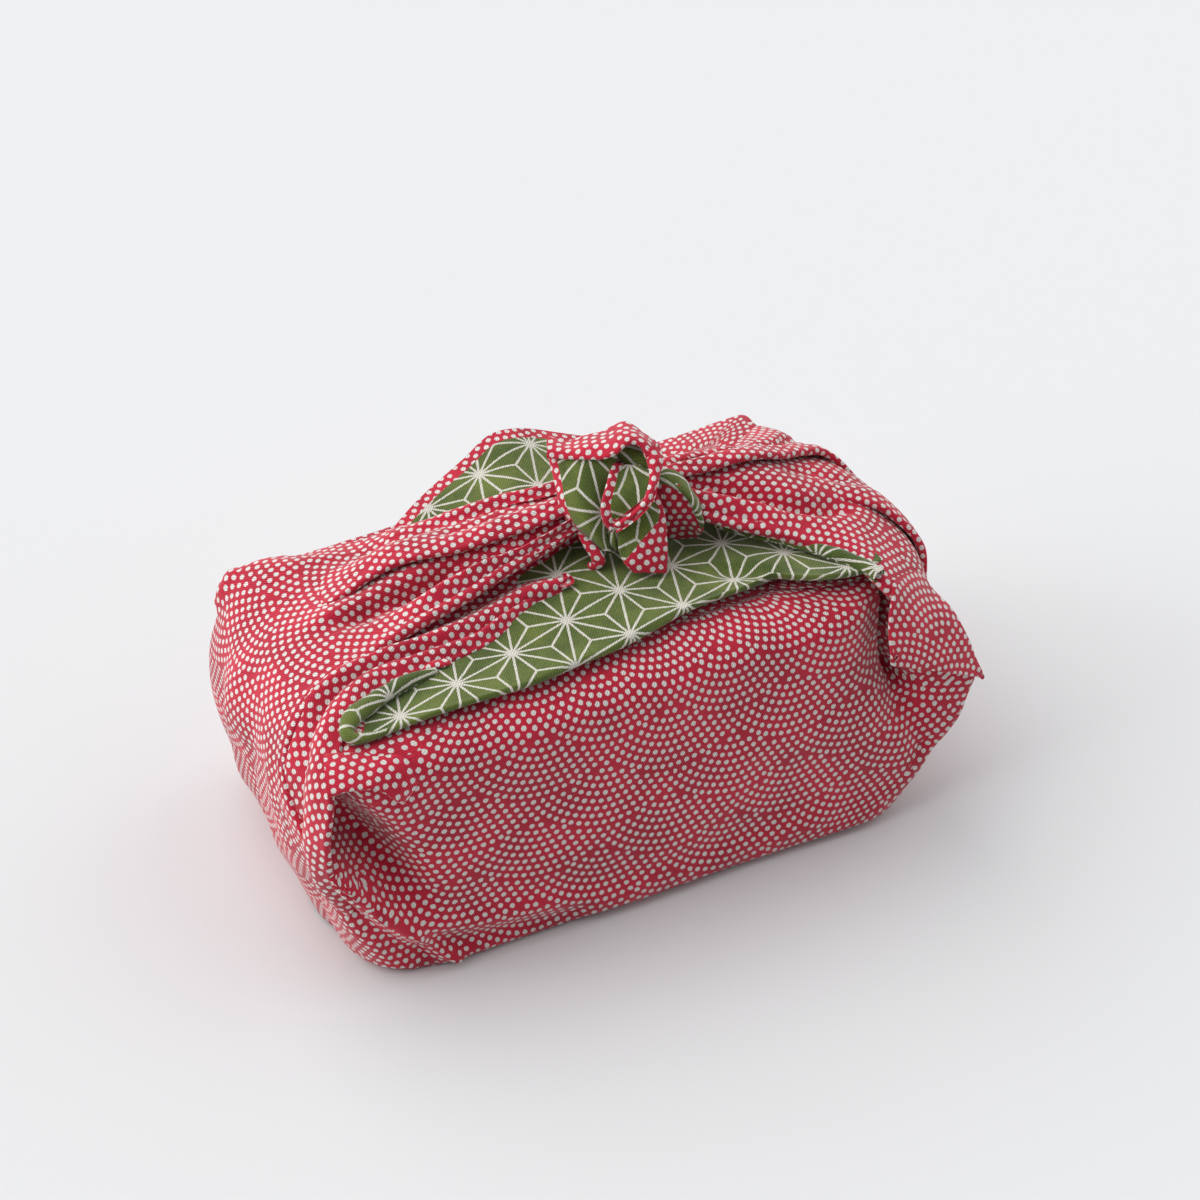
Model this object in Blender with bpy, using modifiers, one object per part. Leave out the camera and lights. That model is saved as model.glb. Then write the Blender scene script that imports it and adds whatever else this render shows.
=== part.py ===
"""A furoshiki bundle: one square cotton cloth wrapped round a box and tied on top with its own corners.

The whole cloth is one node. Its front and back corners cross over the top, where the back corner is
folded back on itself and shows the other side. The left and right corners climb the two ends, gather
into pleated arms and meet in a knot. What is inside doesn't show, so the wrapped body is filled.

Blender units are metres and +Z is up. The tables below are in millimetres. The origin is on the
surface that the bundle stands on, under the middle of the box. X runs along the box, -Y is its front.
"""

import math

import bmesh
import bpy
import numpy as np

MM = 0.001
CLOTH_RED = (0.62, 0.035, 0.06, 1.0)
COLLECTION_NAME = "furoshiki_wrap"
NODE_NAME = "furoshiki_cloth"

# The four upright folds of the wrapped box, a row per height: z, x, y, corner radius.
CORNER_FOLDS = {
    "front_left": (
        (0.0, -92.0, -63.5, 26.0),
        (3.0, -95.0, -66.0, 27.0),
        (25.0, -99.0, -65.5, 17.0),
        (50.0, -102.0, -64.0, 6.0),
        (68.0, -100.0, -63.5, 6.0),
        (78.0, -96.0, -61.5, 8.0),
        (82.0, -91.0, -57.5, 10.0),
        (84.0, -87.0, -52.0, 12.0),
    ),
    "front_right": (
        (0.0, 88.0, -63.0, 20.0),
        (3.0, 91.0, -65.5, 20.0),
        (15.0, 98.0, -63.5, 9.0),
        (32.0, 107.0, -62.0, 4.0),
        (46.0, 110.0, -61.0, 3.0),
        (64.0, 101.0, -60.5, 5.0),
        (78.0, 92.0, -59.5, 8.0),
        (82.0, 89.0, -56.0, 10.0),
        (84.0, 86.0, -51.0, 12.0),
    ),
    "back_right": (
        (0.0, 87.0, 47.5, 22.0),
        (3.0, 90.0, 50.0, 22.0),
        (25.0, 98.0, 50.5, 14.0),
        (46.0, 104.0, 50.0, 6.0),
        (66.0, 97.0, 49.0, 4.0),
        (79.0, 90.0, 48.5, 3.0),
        (84.0, 86.5, 47.5, 3.0),
    ),
    "back_left": (
        (0.0, -91.0, 47.5, 23.0),
        (3.0, -94.0, 50.0, 23.0),
        (25.0, -100.0, 49.5, 15.0),
        (50.0, -101.0, 46.0, 8.0),
        (66.0, -101.0, 42.0, 6.0),
        (78.0, -95.0, 40.0, 5.0),
        (84.0, -88.0, 40.0, 5.0),
    ),
}
# How far each side of the box bows out (+) or is hollow (-) between its two folds at mid height.
SIDE_BOWS = {"front": 1.5, "right": -5.5, "back": 1.5, "left": 0.5}
SECTION_HEIGHTS = (0, 1, 3, 8, 14, 20, 26, 32, 38, 44, 50, 56, 61, 66, 70, 73, 75.5, 77.5, 79.5, 81, 82.5, 84)

TOP_RINGS = ((0.86, 85.3), (0.6, 86.2), (0.3, 86.6))
TOP_HEIGHT = 84.0
RIGHT_END_RISE = 0.028
RISE_HALF_LENGTH = 90.0
RISE_START = 20.0
SIDE_COLUMNS = {"front": 48, "right": 8, "back": 16, "left": 8}
CORNER_COLUMNS = 4

# Folds pressed into the wrapped sides: points along the fold, how far it stands out, and its half width.
SIDE_FOLDS = {
    "front left ear": (((-64, -66, 1), (-84, -65, 23), (-95, -64, 40), (-103, -63, 55)), 2.2, 2.2),
    "front left ear shade": (((-72, -65, 1), (-90, -63, 21), (-100, -60, 38), (-104, -58, 50)), -1.6, 3),
    "front right valley": (((79, -64, 66), (86, -64, 48), (95, -64, 25), (99, -63, 12)), -4, 4.5),
    "front right swell": (((70, -64, 70), (76, -64, 45), (84, -64, 20)), 1.2, 7),
    "front lower crease": (((-60, -66, 14), (-30, -66, 9), (20, -66, 7), (60, -66, 12)), 0.9, 5),
    "back left valley": (((-82, 50, 64), (-88, 50, 46), (-93, 50, 24)), -3, 5),
    "back right valley": (((80, 50, 66), (87, 50, 46), (94, 50, 24)), -3, 5),
}

# The pocket where the front panel turns in under its own rim, beside the left end.
POCKET_RIM = ((-103.0, 83.0), (-93.0, 82.0), (-80.0, 77.0))
POCKET_RIDGE = ((-80.0, 77.0), (-74.0, 69.0), (-67.0, 55.0), (-64.0, 43.0), (-60.0, 28.0))
POCKET_FLOOR = ((-103.0, 54.0), (-92.0, 37.0), (-72.0, 14.0))
POCKET_DEPTH = 13.0
POCKET_RIM_DROP = 2.5
POCKET_SLOPE_LENGTH = 24.0
POCKET_FLOOR_RISE = 24.0

# Each arm is a sheet whose folds run from the floor, up one end of the box and in to the knot.
# A row is one fold, from the back edge to the front edge of the sheet. First comes its place across the
# sheet, then x, y, z on the floor, low, at the middle and at the shoulder of the end (first line), and at
# the top edge, on the slope, near the knot and in the knot (second line).
LEFT_ARM = (
    (
        0.00,
        (-78, 51, 1), (-86, 51, 25), (-94, 48, 50), (-96, 43, 68),
        (-82, 36, 83), (-57, 28, 94), (-28, 20, 101), (6, 11, 107),
    ),
    (
        0.12,
        (-91, 43, 1), (-100, 44, 25), (-103, 41, 50), (-103, 36, 66),
        (-88, 33, 88), (-58, 24, 96), (-28, 16, 104), (6, 9, 109),
    ),
    (
        0.36,
        (-94, 20, 1), (-103, 22, 25), (-106, 20, 50), (-105, 17, 70),
        (-89, 16, 87), (-59, 13, 97), (-28, 10, 103), (6, 6, 109),
    ),
    (
        0.58,
        (-95, -6, 1), (-103, -6, 25), (-107, -6, 50), (-105, -6, 70),
        (-92, -6, 88), (-61, -1, 95), (-29, 1, 102), (6, 2, 108),
    ),
    (
        0.80,
        (-94, -36, 1), (-102, -37, 25), (-106, -36, 48), (-105, -29, 70),
        (-93, -22, 88), (-63, -14, 94), (-30, -8, 100), (5, -3, 106),
    ),
    (
        1.00,
        (-67, -65, 1), (-86, -64, 24), (-103, -61, 48), (-105, -46, 70),
        (-94, -33, 87), (-66, -24, 92), (-31, -18, 97), (3, -9, 103),
    ),
)
RIGHT_ARM = (
    (
        0.00,
        (78, 51, 1), (88, 51, 25), (98, 50, 46), (96, 47, 68),
        (86, 36, 86), (66, 20, 92), (50, 13, 99), (26, 8, 105),
    ),
    (
        0.12,
        (89, 42, 1), (99, 47, 25), (104, 48, 46), (99, 44, 68),
        (91, 27, 87), (70, 17, 95), (52, 12, 102), (27, 6, 108),
    ),
    (
        0.34,
        (91, 18, 1), (98, 20, 25), (103, 20, 46), (103, 16, 68),
        (97, 8, 87), (75, 7, 98), (54, 7, 104), (27, 3, 109),
    ),
    (
        0.55,
        (91, -8, 1), (98, -8, 25), (103, -10, 46), (104, -10, 68),
        (99, -12, 87), (77, -7, 98), (56, -2, 105), (28, 0, 109),
    ),
    (
        0.74,
        (90, -36, 1), (100, -40, 25), (109, -43, 46), (104, -38, 66),
        (96, -32, 85), (77, -22, 97), (57, -14, 102), (28, -4, 107),
    ),
    (
        0.88,
        (86, -53, 1), (101, -57, 25), (114, -60, 46), (104, -57, 62),
        (93, -50, 81), (77, -34, 94), (57, -23, 98), (28, -8, 104),
    ),
    (
        1.00,
        (80, -60, 1), (100, -62, 22), (114, -63, 44), (83, -65, 64),
        (81, -61, 86), (74, -42, 91), (58, -31, 95), (29, -11, 101),
    ),
)
# Pleats of the arms, a row each: place across the sheet on the wall, at the edge and at the knot, how far
# it stands out there, and its half width as a share of the sheet.
LEFT_PLEATS = (
    (0.16, 0.10, 0.12, 0.5, 1.6, 1.0, 0.07),
    (0.30, 0.26, 0.24, -0.4, -0.8, -1.6, 0.030),
    (0.38, 0.40, 0.38, 0.6, 1.4, 1.8, 0.080),
    (0.46, 0.52, 0.50, -0.6, -2.0, -2.8, 0.035),
    (0.55, 0.62, 0.62, 0.5, 1.8, 2.0, 0.070),
    (0.66, 0.73, 0.74, -0.8, -2.4, -2.8, 0.035),
    (0.76, 0.86, 0.88, 0.8, 2.6, 2.4, 0.080),
)
RIGHT_PLEATS = (
    (0.10, 0.14, 0.16, 0.6, 1.2, 1.2, 0.06),
    (0.22, 0.24, 0.26, -1.0, -3.2, -3.0, 0.035),
    (0.40, 0.40, 0.42, 0.8, 3.0, 2.2, 0.100),
    (0.52, 0.54, 0.60, -0.6, -1.8, -2.6, 0.045),
    (0.64, 0.66, 0.70, 0.8, 1.6, 1.8, 0.060),
    (0.74, 0.76, 0.84, -0.6, -1.4, -1.2, 0.035),
    (0.84, 0.86, 0.92, 1.0, 1.6, 1.4, 0.060),
)
ARM_ROWS = 34
ARM_COLUMNS = 36
ARM_DEPTHS = ((0.0, 4.0), (0.5, 4.0), (0.7, 7.0), (1.0, 12.0))

# The two folded pleats in front of the left arm, a row per point: x, y, z, half width, half height.
FRONT_PLEATS = {
    "upper": (
        (-7, -17, 91, 1.5, 1),
        (-14, -20, 92, 3.6, 2),
        (-34, -25, 92, 4.6, 2.4),
        (-60, -29, 91, 4.6, 2.6),
        (-82, -34, 89, 4.6, 2.8),
        (-98, -43, 83, 4.8, 3),
        (-104, -50, 70, 4.6, 3),
        (-105, -54, 54, 3.6, 2.4),
        (-101, -58, 40, 1.5, 1),
    ),
    "lower": (
        (-50, -33, 90, 1, 1),
        (-57, -34, 90, 2.4, 1.6),
        (-72, -38, 90, 3.6, 2.4),
        (-86, -45, 87, 4, 2.8),
        (-96, -54, 81, 4.2, 3),
        (-101, -60, 70, 4, 3),
        (-102, -63, 58, 3, 2.4),
        (-99, -63, 46, 1.2, 1),
    ),
}

# The folded back flap: its front fold and its free hem, a row per point from left to right: x, y, z.
FLAP_FOLD = (
    (-89, -47, 86),
    (-60, -49, 87),
    (-20, -47, 88),
    (14, -44, 89),
    (44, -41, 91),
    (64, -43, 91),
    (84, -50, 90),
)
FLAP_HEM = (
    (-86, -20, 87),
    (-66, 8, 88),
    (-41, 34, 91),
    (-14, 48, 97),
    (2, 52, 101),
    (28, 48, 93),
    (51, 31, 89),
    (86, -20, 90),
)
FLAP_THICKNESS = 2.4
FLAP_SAG = -1.5
FLAP_COLUMNS = 26
FLAP_ROWS = 12
# The rolled ends of that fold, a row per point: x, y, z, half width, half height.
FLAP_ROLLS = {
    "left": (
        (-90, -46, 87, 2.5, 2.2),
        (-84, -43, 89, 4, 3.2),
        (-70, -36, 90, 3.6, 3),
        (-58, -31, 90, 2.4, 2.2),
        (-51, -29, 90, 1, 1),
    ),
    "right": (
        (88, -53, 89, 2, 2),
        (83, -51, 91, 3.2, 2.6),
        (74, -45, 92, 2.2, 1.8),
        (66, -40, 92, 1, 1),
    ),
}

# The knot has its own frame: a to its right, b up and c out of its face, in millimetres from its middle.
KNOT_MIDDLE = (17.0, 0.0, 106.0)
KNOT_TURN = math.radians(-25.0)
KNOT_LEAN = math.radians(38.0)
KNOT_CORE = (15.0, 17.0, 12.5)
# Strips of the two tied corners, a row per point: a, b, c, half width, and the strip's turn in degrees.
KNOT_STRIPS = {
    "front band": (
        (-3, 17, 0, 7, 0),
        (-7, 14, 8, 8, 5),
        (-7, 4, 13, 8, 10),
        (-4, -8, 12, 6.5, 10),
        (0, -17, 5, 4, 10),
    ),
    "top fold": (
        (-19, 12, 2, 3, 40),
        (-10, 16.5, 5, 4.5, 30),
        (3, 20, 3, 5.5, 10),
        (12, 15, 2, 5, -20),
        (16, 7, 2, 3.5, -40),
    ),
    "curled tip": (
        (10, 15, 6, 3.5, 0),
        (8, 8, 12, 6, 0),
        (6, 0, 15, 5.5, 10),
        (2, -6, 16, 2, 10),
    ),
    "hanging tail": (
        (7, 0, 10, 4, 0),
        (9, -8, 10, 5, 0),
        (11, -15, 9, 5.8, 0),
        (12, -21, 8, 6, 0),
    ),
    "right loop": (
        (12, 6, 2, 5, 0),
        (20, 3, 6, 7, -20),
        (25, -2, 4, 7, -40),
        (23, -8, -2, 6, -60),
        (14, -10, -4, 5, -60),
    ),
    "left turn": (
        (-18, 9, -2, 5, 0),
        (-14, -3, 8, 5, -20),
        (-7, -12, 8, 4.5, -30),
        (1, -18, 4, 3, -30),
    ),
}
KNOT_STRIP_THICKNESS = 2.0
STRIP_CURL = 0.18
STRIP_STEPS = 12
STRIP_SIDES = 10

# The pieces are merged on a fine grid, then made light again.
SKIN_STEP = 1.1
SKIN_TRIANGLES = 11000
UNDER_FLOOR = 4.0
CUTTER_SIZE = (400.0, 300.0, 40.0)


def catmull(points, count):
    """Points along a smooth curve through the given ones, by equal steps of their index."""
    points = np.asarray(points, float)
    last = len(points) - 1
    padded = np.vstack([2 * points[0] - points[1], points, 2 * points[-1] - points[-2]])
    found = []
    for place in np.linspace(0, last, count):
        index = min(int(place), last - 1)
        step = place - index
        before, start, end, after = padded[index : index + 4]
        found.append(
            start
            + 0.5 * step * (end - before)
            + step**2 * (before - 2.5 * start + 2 * end - 0.5 * after)
            + step**3 * (1.5 * (start - end) + 0.5 * (after - before))
        )
    return np.array(found)


def smooth_step(value):
    value = np.clip(value, 0.0, 1.0)
    return value * value * (3 - 2 * value)


def distance_to_path(points, path):
    """How far each point lies from a path of straight pieces."""
    path = np.asarray(path, float)
    nearest = np.full(points.shape[:-1], np.inf)
    for start, end in zip(path[:-1], path[1:]):
        along = end - start
        share = np.clip((points - start) @ along / (along @ along), 0.0, 1.0)
        gap = np.linalg.norm(points - start - share[..., None] * along, axis=-1)
        nearest = np.minimum(nearest, gap)
    return nearest


def grid_normals(grid):
    """Unit normals of a grid of points, the cross product of its column and row directions."""
    down = np.gradient(grid, axis=0)
    across = np.gradient(grid, axis=1)
    normal = np.cross(across, down)
    return normal / np.maximum(np.linalg.norm(normal, axis=-1, keepdims=True), 1e-9)


def fold_at(name, height):
    rows = np.array(CORNER_FOLDS[name])
    return [np.interp(height, rows[:, 0], rows[:, column]) for column in (1, 2, 3)]


def section(height):
    """The closed outline of the wrapped box at one height, anticlockwise from the front left fold."""
    order = ("front_left", "front_right", "back_right", "back_left")
    sides = ("front", "right", "back", "left")
    folds = [fold_at(name, height) for name in order]
    corners = np.array([fold[:2] for fold in folds])
    bow_share = math.sin(math.pi * min(max(height / TOP_HEIGHT, 0.0), 1.0))
    outline = []
    for index, side in enumerate(sides):
        corner, ahead, behind = corners[index], corners[(index + 1) % 4], corners[index - 1]
        radius, next_radius = folds[index][2], folds[(index + 1) % 4][2]
        forward = (ahead - corner) / np.linalg.norm(ahead - corner)
        backward = (behind - corner) / np.linalg.norm(behind - corner)
        for share in np.linspace(0, 1, CORNER_COLUMNS + 1)[:-1]:
            outline.append(
                (1 - share) ** 2 * (corner + backward * radius)
                + 2 * share * (1 - share) * corner
                + share**2 * (corner + forward * radius)
            )
        start, end = corner + forward * radius, ahead - forward * next_radius
        outward = np.array([forward[1], -forward[0]])
        for share in np.linspace(0, 1, SIDE_COLUMNS[side] + 1)[:-1]:
            bow = SIDE_BOWS[side] * bow_share * math.sin(math.pi * share)
            outline.append(start + (end - start) * share + outward * bow)
    return np.array(outline)


def pocket_depth(x, z):
    """How far the front panel is pressed in at one place of the pocket."""
    rim_z = np.interp(x, *zip(*POCKET_RIM))
    ridge_x = np.interp(-z, *zip(*((-height, place) for place, height in POCKET_RIDGE)))
    floor_z = np.interp(x, *zip(*POCKET_FLOOR))
    under_rim = smooth_step((rim_z - z) / POCKET_RIM_DROP)
    beside_ridge = smooth_step((ridge_x - x) / POCKET_SLOPE_LENGTH)
    above_floor = smooth_step((z - floor_z) / POCKET_FLOOR_RISE)
    return POCKET_DEPTH * under_rim * beside_ridge * above_floor


def wrapped_sides():
    """The grid of the wrapped box's upright sides, a row per height, with its folds pressed in."""
    grid = np.array([[(x, y, height) for x, y in section(height)] for height in SECTION_HEIGHTS])
    closed = np.concatenate([grid[:, -1:], grid, grid[:, :1]], axis=1)
    outward = grid_normals(closed)[:, 1:-1]
    outward[..., 2] = 0
    outward /= np.maximum(np.linalg.norm(outward, axis=-1, keepdims=True), 1e-9)
    move = np.zeros(grid.shape[:2])
    for path, height, width in SIDE_FOLDS.values():
        move += height * np.exp(-((distance_to_path(grid, path) / width) ** 2))
    front = (grid[..., 1] < -45) & (outward[..., 1] < -0.3)
    move -= np.where(front, pocket_depth(grid[..., 0], grid[..., 2]), 0.0)
    move[:2] = 0
    return grid + outward * move[..., None]


def raise_right_end(points):
    """The box stands a little higher under its right end."""
    points = np.array(points, float)
    along = np.clip(points[..., 0] / RISE_HALF_LENGTH, -1, 1)
    off_floor = np.clip(points[..., 2] / RISE_START, 0, 1)
    points[..., 2] *= 1 + RIGHT_END_RISE * along * off_floor
    return points


def grid_mesh(name, rings, closed_columns, cap_start, cap_end):
    """A mesh from rings of points, each joined to the next."""
    mesh_builder = bmesh.new()
    made = [[mesh_builder.verts.new(point * MM) for point in ring] for ring in np.asarray(rings)]
    columns = len(made[0])
    for ring, following in zip(made[:-1], made[1:]):
        for column in range(columns if closed_columns else columns - 1):
            after = (column + 1) % columns
            mesh_builder.faces.new((ring[column], ring[after], following[after], following[column]))
    if cap_start:
        mesh_builder.faces.new(list(reversed(made[0])))
    if cap_end:
        mesh_builder.faces.new(made[-1])
    bmesh.ops.recalc_face_normals(mesh_builder, faces=mesh_builder.faces)
    mesh = bpy.data.meshes.new(name)
    mesh_builder.to_mesh(mesh)
    mesh_builder.free()
    return bpy.data.objects.new(name, mesh)


def below_floor(ring):
    """A copy of a ring under the floor, which the flat base then cuts away."""
    lowered = np.array(ring, float)
    lowered[:, 2] = -UNDER_FLOOR
    return lowered


def wrapped_box():
    sides = wrapped_sides()
    top = sides[-1]
    middle = top.mean(axis=0)
    rings = [below_floor(sides[0])] + list(sides)
    for share, height in TOP_RINGS:
        ring = middle + (top - middle) * share
        ring[:, 2] = height
        rings.append(ring)
    return grid_mesh("wrapped_box", raise_right_end(rings), True, True, True)


def slab_mesh(name, outer, inner):
    """A closed solid between an outer and an inner grid of the same size."""
    rings = [np.concatenate([top, bottom[::-1]]) for top, bottom in zip(outer, inner)]
    return grid_mesh(name, rings, True, True, True)


def arm_surface(folds, pleats, rows, columns, outward_sign):
    """The gathered sheet of one arm and its outward normals: rows climb to the knot, columns go across."""
    shares = np.array([fold[0] for fold in folds])
    lines = np.array([catmull(fold[1:], rows) for fold in folds])
    places = np.linspace(0, 1, columns)
    index_places = np.interp(places, shares, np.arange(len(folds)))
    grid = np.array([[spread_point(lines[:, row], place) for place in index_places] for row in range(rows)])
    outward = grid_normals(grid) * outward_sign
    climb = np.linspace(0, 1, rows)[:, None]
    move = np.zeros((rows, columns))
    for wall, edge, knot, wall_out, edge_out, knot_out, width in pleats:
        centre = np.interp(climb, (0.2, 0.55, 1.0), (wall, edge, knot))
        height = np.interp(climb, (0.0, 0.25, 0.55, 1.0), (0.0, wall_out, edge_out, knot_out))
        move += height * np.exp(-(((places[None] - centre) / width) ** 2))
    return grid + outward * move[..., None], outward


def spread_point(line_points, place):
    """The point at a fractional index across a row of points, on a smooth curve through them."""
    last = len(line_points) - 1
    index = min(int(place), last - 1)
    step = place - index
    before = line_points[index - 1] if index > 0 else 2 * line_points[0] - line_points[1]
    after = line_points[index + 2] if index + 2 <= last else 2 * line_points[last] - line_points[last - 1]
    start, end = line_points[index], line_points[index + 1]
    return (
        start
        + 0.5 * step * (end - before)
        + step**2 * (before - 2.5 * start + 2 * end - 0.5 * after)
        + step**3 * (1.5 * (start - end) + 0.5 * (after - before))
    )


def arm(name, folds, pleats, outward_sign):
    outer, outward = arm_surface(folds, pleats, ARM_ROWS, ARM_COLUMNS, outward_sign)
    depth = np.interp(np.linspace(0, 1, ARM_ROWS), *zip(*ARM_DEPTHS))[:, None, None]
    inner = outer - outward * depth
    outer = np.concatenate([below_floor(outer[0])[None], outer])
    inner = np.concatenate([below_floor(inner[0])[None], inner])
    return slab_mesh(name, raise_right_end(outer), raise_right_end(inner))


def flat_tube(name, rows, count, side):
    """A flattened roll of cloth along a row of points, pointed where its half widths are small."""
    line = catmull(rows, count)
    points, widths, heights = line[:, :3], line[:, 3], line[:, 4]
    tangent = np.gradient(points, axis=0)
    tangent /= np.linalg.norm(tangent, axis=1, keepdims=True)
    across = np.cross(tangent, np.asarray(side, float))
    across /= np.linalg.norm(across, axis=1, keepdims=True)
    out = np.cross(across, tangent)
    angles = np.linspace(0, 2 * math.pi, STRIP_SIDES, endpoint=False)
    rings = [
        [
            point + across_at * width * math.cos(angle) + out_at * height * math.sin(angle)
            for angle in angles
        ]
        for point, across_at, out_at, width, height in zip(points, across, out, widths, heights)
    ]
    return grid_mesh(name, raise_right_end(rings), True, True, True)


def flap():
    """The folded back flap's upper layer, from the front fold to its free hem."""
    front = catmull(FLAP_FOLD, FLAP_COLUMNS)
    back = catmull(FLAP_HEM, FLAP_COLUMNS)
    shares = np.linspace(0, 1, FLAP_ROWS)[:, None, None]
    upper = front + (back - front) * shares
    upper[..., 2] += FLAP_SAG * np.sin(math.pi * shares[..., 0])
    lower = upper.copy()
    lower[..., 2] -= FLAP_THICKNESS
    return slab_mesh("flap", raise_right_end(upper), raise_right_end(lower))


def flap_under():
    """What fills the little height between the box and the flap, the cloth's own lower layers."""
    front = catmull(FLAP_FOLD, FLAP_COLUMNS)
    back = catmull(FLAP_HEM, FLAP_COLUMNS)
    back[:, 2] = np.minimum(back[:, 2], 88.0)
    shares = np.linspace(0.04, 0.9, FLAP_ROWS)[:, None, None]
    upper = front + (back - front) * shares
    upper[..., 2] -= 1.2
    lower = upper.copy()
    lower[..., 2] = TOP_HEIGHT - 8.0
    return slab_mesh("flap_under", raise_right_end(upper), raise_right_end(lower))


def knot_axes():
    right = np.array([math.cos(KNOT_TURN), math.sin(KNOT_TURN), 0.0])
    out = np.array(
        [
            math.sin(KNOT_TURN) * math.cos(KNOT_LEAN),
            -math.cos(KNOT_TURN) * math.cos(KNOT_LEAN),
            math.sin(KNOT_LEAN),
        ]
    )
    return right, np.cross(out, right), out


def knot_core():
    bpy.ops.mesh.primitive_uv_sphere_add(segments=24, ring_count=12, radius=1.0)
    core = bpy.context.object
    axes = np.array(knot_axes())
    for vertex in core.data.vertices:
        local = np.array(vertex.co) * KNOT_CORE
        vertex.co = (np.array(KNOT_MIDDLE) + local @ axes) * MM
    return core


def knot_strip(name, rows):
    """A strip of cloth that bends round the knot, as a closed flat section swept along its points."""
    right, up, out = knot_axes()
    line = catmull(rows, STRIP_STEPS)
    points = np.array(KNOT_MIDDLE) + line[:, :1] * right + line[:, 1:2] * up + line[:, 2:3] * out
    tangent = np.gradient(points, axis=0)
    tangent /= np.linalg.norm(tangent, axis=1, keepdims=True)
    half = KNOT_STRIP_THICKNESS / 2
    rings = []
    for point, along, width, turn in zip(points, tangent, line[:, 3], line[:, 4]):
        centre_way = point - np.array(KNOT_MIDDLE)
        away = centre_way - along * (centre_way @ along)
        away /= np.linalg.norm(away)
        across = np.cross(along, away)
        angle = math.radians(turn)
        across = across * math.cos(angle) + away * math.sin(angle)
        away = np.cross(across, along)
        ring = []
        for place in np.linspace(-1, 1, 5):
            ring.append(point + across * width * place + away * (half - STRIP_CURL * width * place**2))
        for place in np.linspace(1, -1, 5):
            ring.append(point + across * width * place - away * (half + STRIP_CURL * width * place**2))
        rings.append(ring)
    return grid_mesh(name, rings, True, True, True)


def cloth_material():
    material = bpy.data.materials.new("red_cotton")
    material.use_nodes = True
    shader = material.node_tree.nodes["Principled BSDF"]
    shader.inputs["Base Color"].default_value = CLOTH_RED
    shader.inputs["Roughness"].default_value = 0.9
    shader.inputs["Metallic"].default_value = 0.0
    return material


def merged(pieces):
    """One closed skin round all the pieces, which run into each other, with few enough faces."""
    builder = bmesh.new()
    for piece in pieces:
        builder.from_mesh(piece.data)
        bpy.data.objects.remove(piece)
    mesh = bpy.data.meshes.new(NODE_NAME)
    builder.to_mesh(mesh)
    builder.free()
    cloth = bpy.data.objects.new("whole_cloth", mesh)
    bpy.context.scene.collection.objects.link(cloth)
    skin = cloth.modifiers.new("one_skin", "REMESH")
    skin.mode = "VOXEL"
    skin.voxel_size = SKIN_STEP * MM
    made = outer_skin(evaluated_mesh(cloth))
    cloth.modifiers.clear()
    cloth.data = made
    soft = cloth.modifiers.new("soft_folds", "SMOOTH")
    soft.factor = 0.5
    soft.iterations = 2
    light = cloth.modifiers.new("fewer_faces", "DECIMATE")
    light.ratio = SKIN_TRIANGLES / (2 * len(made.polygons))
    cloth.data = evaluated_mesh(cloth)
    cloth.modifiers.clear()
    return cloth


def evaluated_mesh(thing):
    graph = bpy.context.evaluated_depsgraph_get()
    graph.update()
    return bpy.data.meshes.new_from_object(thing.evaluated_get(graph))


def outer_skin(mesh):
    """The largest of a mesh's separate shells: the others line small hollows that nothing reaches."""
    builder = bmesh.new()
    builder.from_mesh(mesh)
    builder.verts.ensure_lookup_table()
    seen, shells = set(), []
    for first in builder.verts:
        if first.index in seen:
            continue
        shell, waiting = [], [first]
        seen.add(first.index)
        while waiting:
            vertex = waiting.pop()
            shell.append(vertex)
            for edge in vertex.link_edges:
                other = edge.other_vert(vertex)
                if other.index not in seen:
                    seen.add(other.index)
                    waiting.append(other)
        shells.append(shell)
    shells.sort(key=len)
    for shell in shells[:-1]:
        bmesh.ops.delete(builder, geom=shell, context="VERTS")
    builder.to_mesh(mesh)
    builder.free()
    return mesh


def floor_cutter():
    bpy.ops.mesh.primitive_cube_add(size=1.0, location=(0, 0, -CUTTER_SIZE[2] * MM / 2))
    cutter = bpy.context.object
    cutter.name = "floor_cutter"
    cutter.scale = [side * MM for side in CUTTER_SIZE]
    cutter.hide_render = True
    cutter.display_type = "WIRE"
    return cutter


def main():
    for old in list(bpy.data.objects):
        bpy.data.objects.remove(old, do_unlink=True)
    parts = bpy.data.collections.new(COLLECTION_NAME)
    helpers = bpy.data.collections.new("helpers")
    bpy.context.scene.collection.children.link(parts)
    bpy.context.scene.collection.children.link(helpers)

    pieces = [
        wrapped_box(),
        arm("left_arm", LEFT_ARM, LEFT_PLEATS, 1),
        arm("right_arm", RIGHT_ARM, RIGHT_PLEATS, -1),
        flap_under(),
        flap(),
        knot_core(),
    ]
    for name, rows in FRONT_PLEATS.items():
        pieces.append(flat_tube("front_pleat_" + name, rows, 20, (0.3, 0.5, 1.0)))
    for name, rows in FLAP_ROLLS.items():
        pieces.append(flat_tube("flap_roll_" + name, rows, 9, (0.0, 0.0, 1.0)))
    for name, rows in KNOT_STRIPS.items():
        pieces.append(knot_strip("knot_" + name.replace(" ", "_"), rows))

    cloth = merged(pieces)
    cloth.name = NODE_NAME
    move_to(cloth, parts)
    cutter = floor_cutter()
    move_to(cutter, helpers)
    base = cloth.modifiers.new("flat_base", "BOOLEAN")
    base.operation = "DIFFERENCE"
    base.object = cutter
    cloth.data.materials.append(cloth_material())


def move_to(thing, collection):
    for old in list(thing.users_collection):
        old.objects.unlink(thing)
    collection.objects.link(thing)


main()
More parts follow.
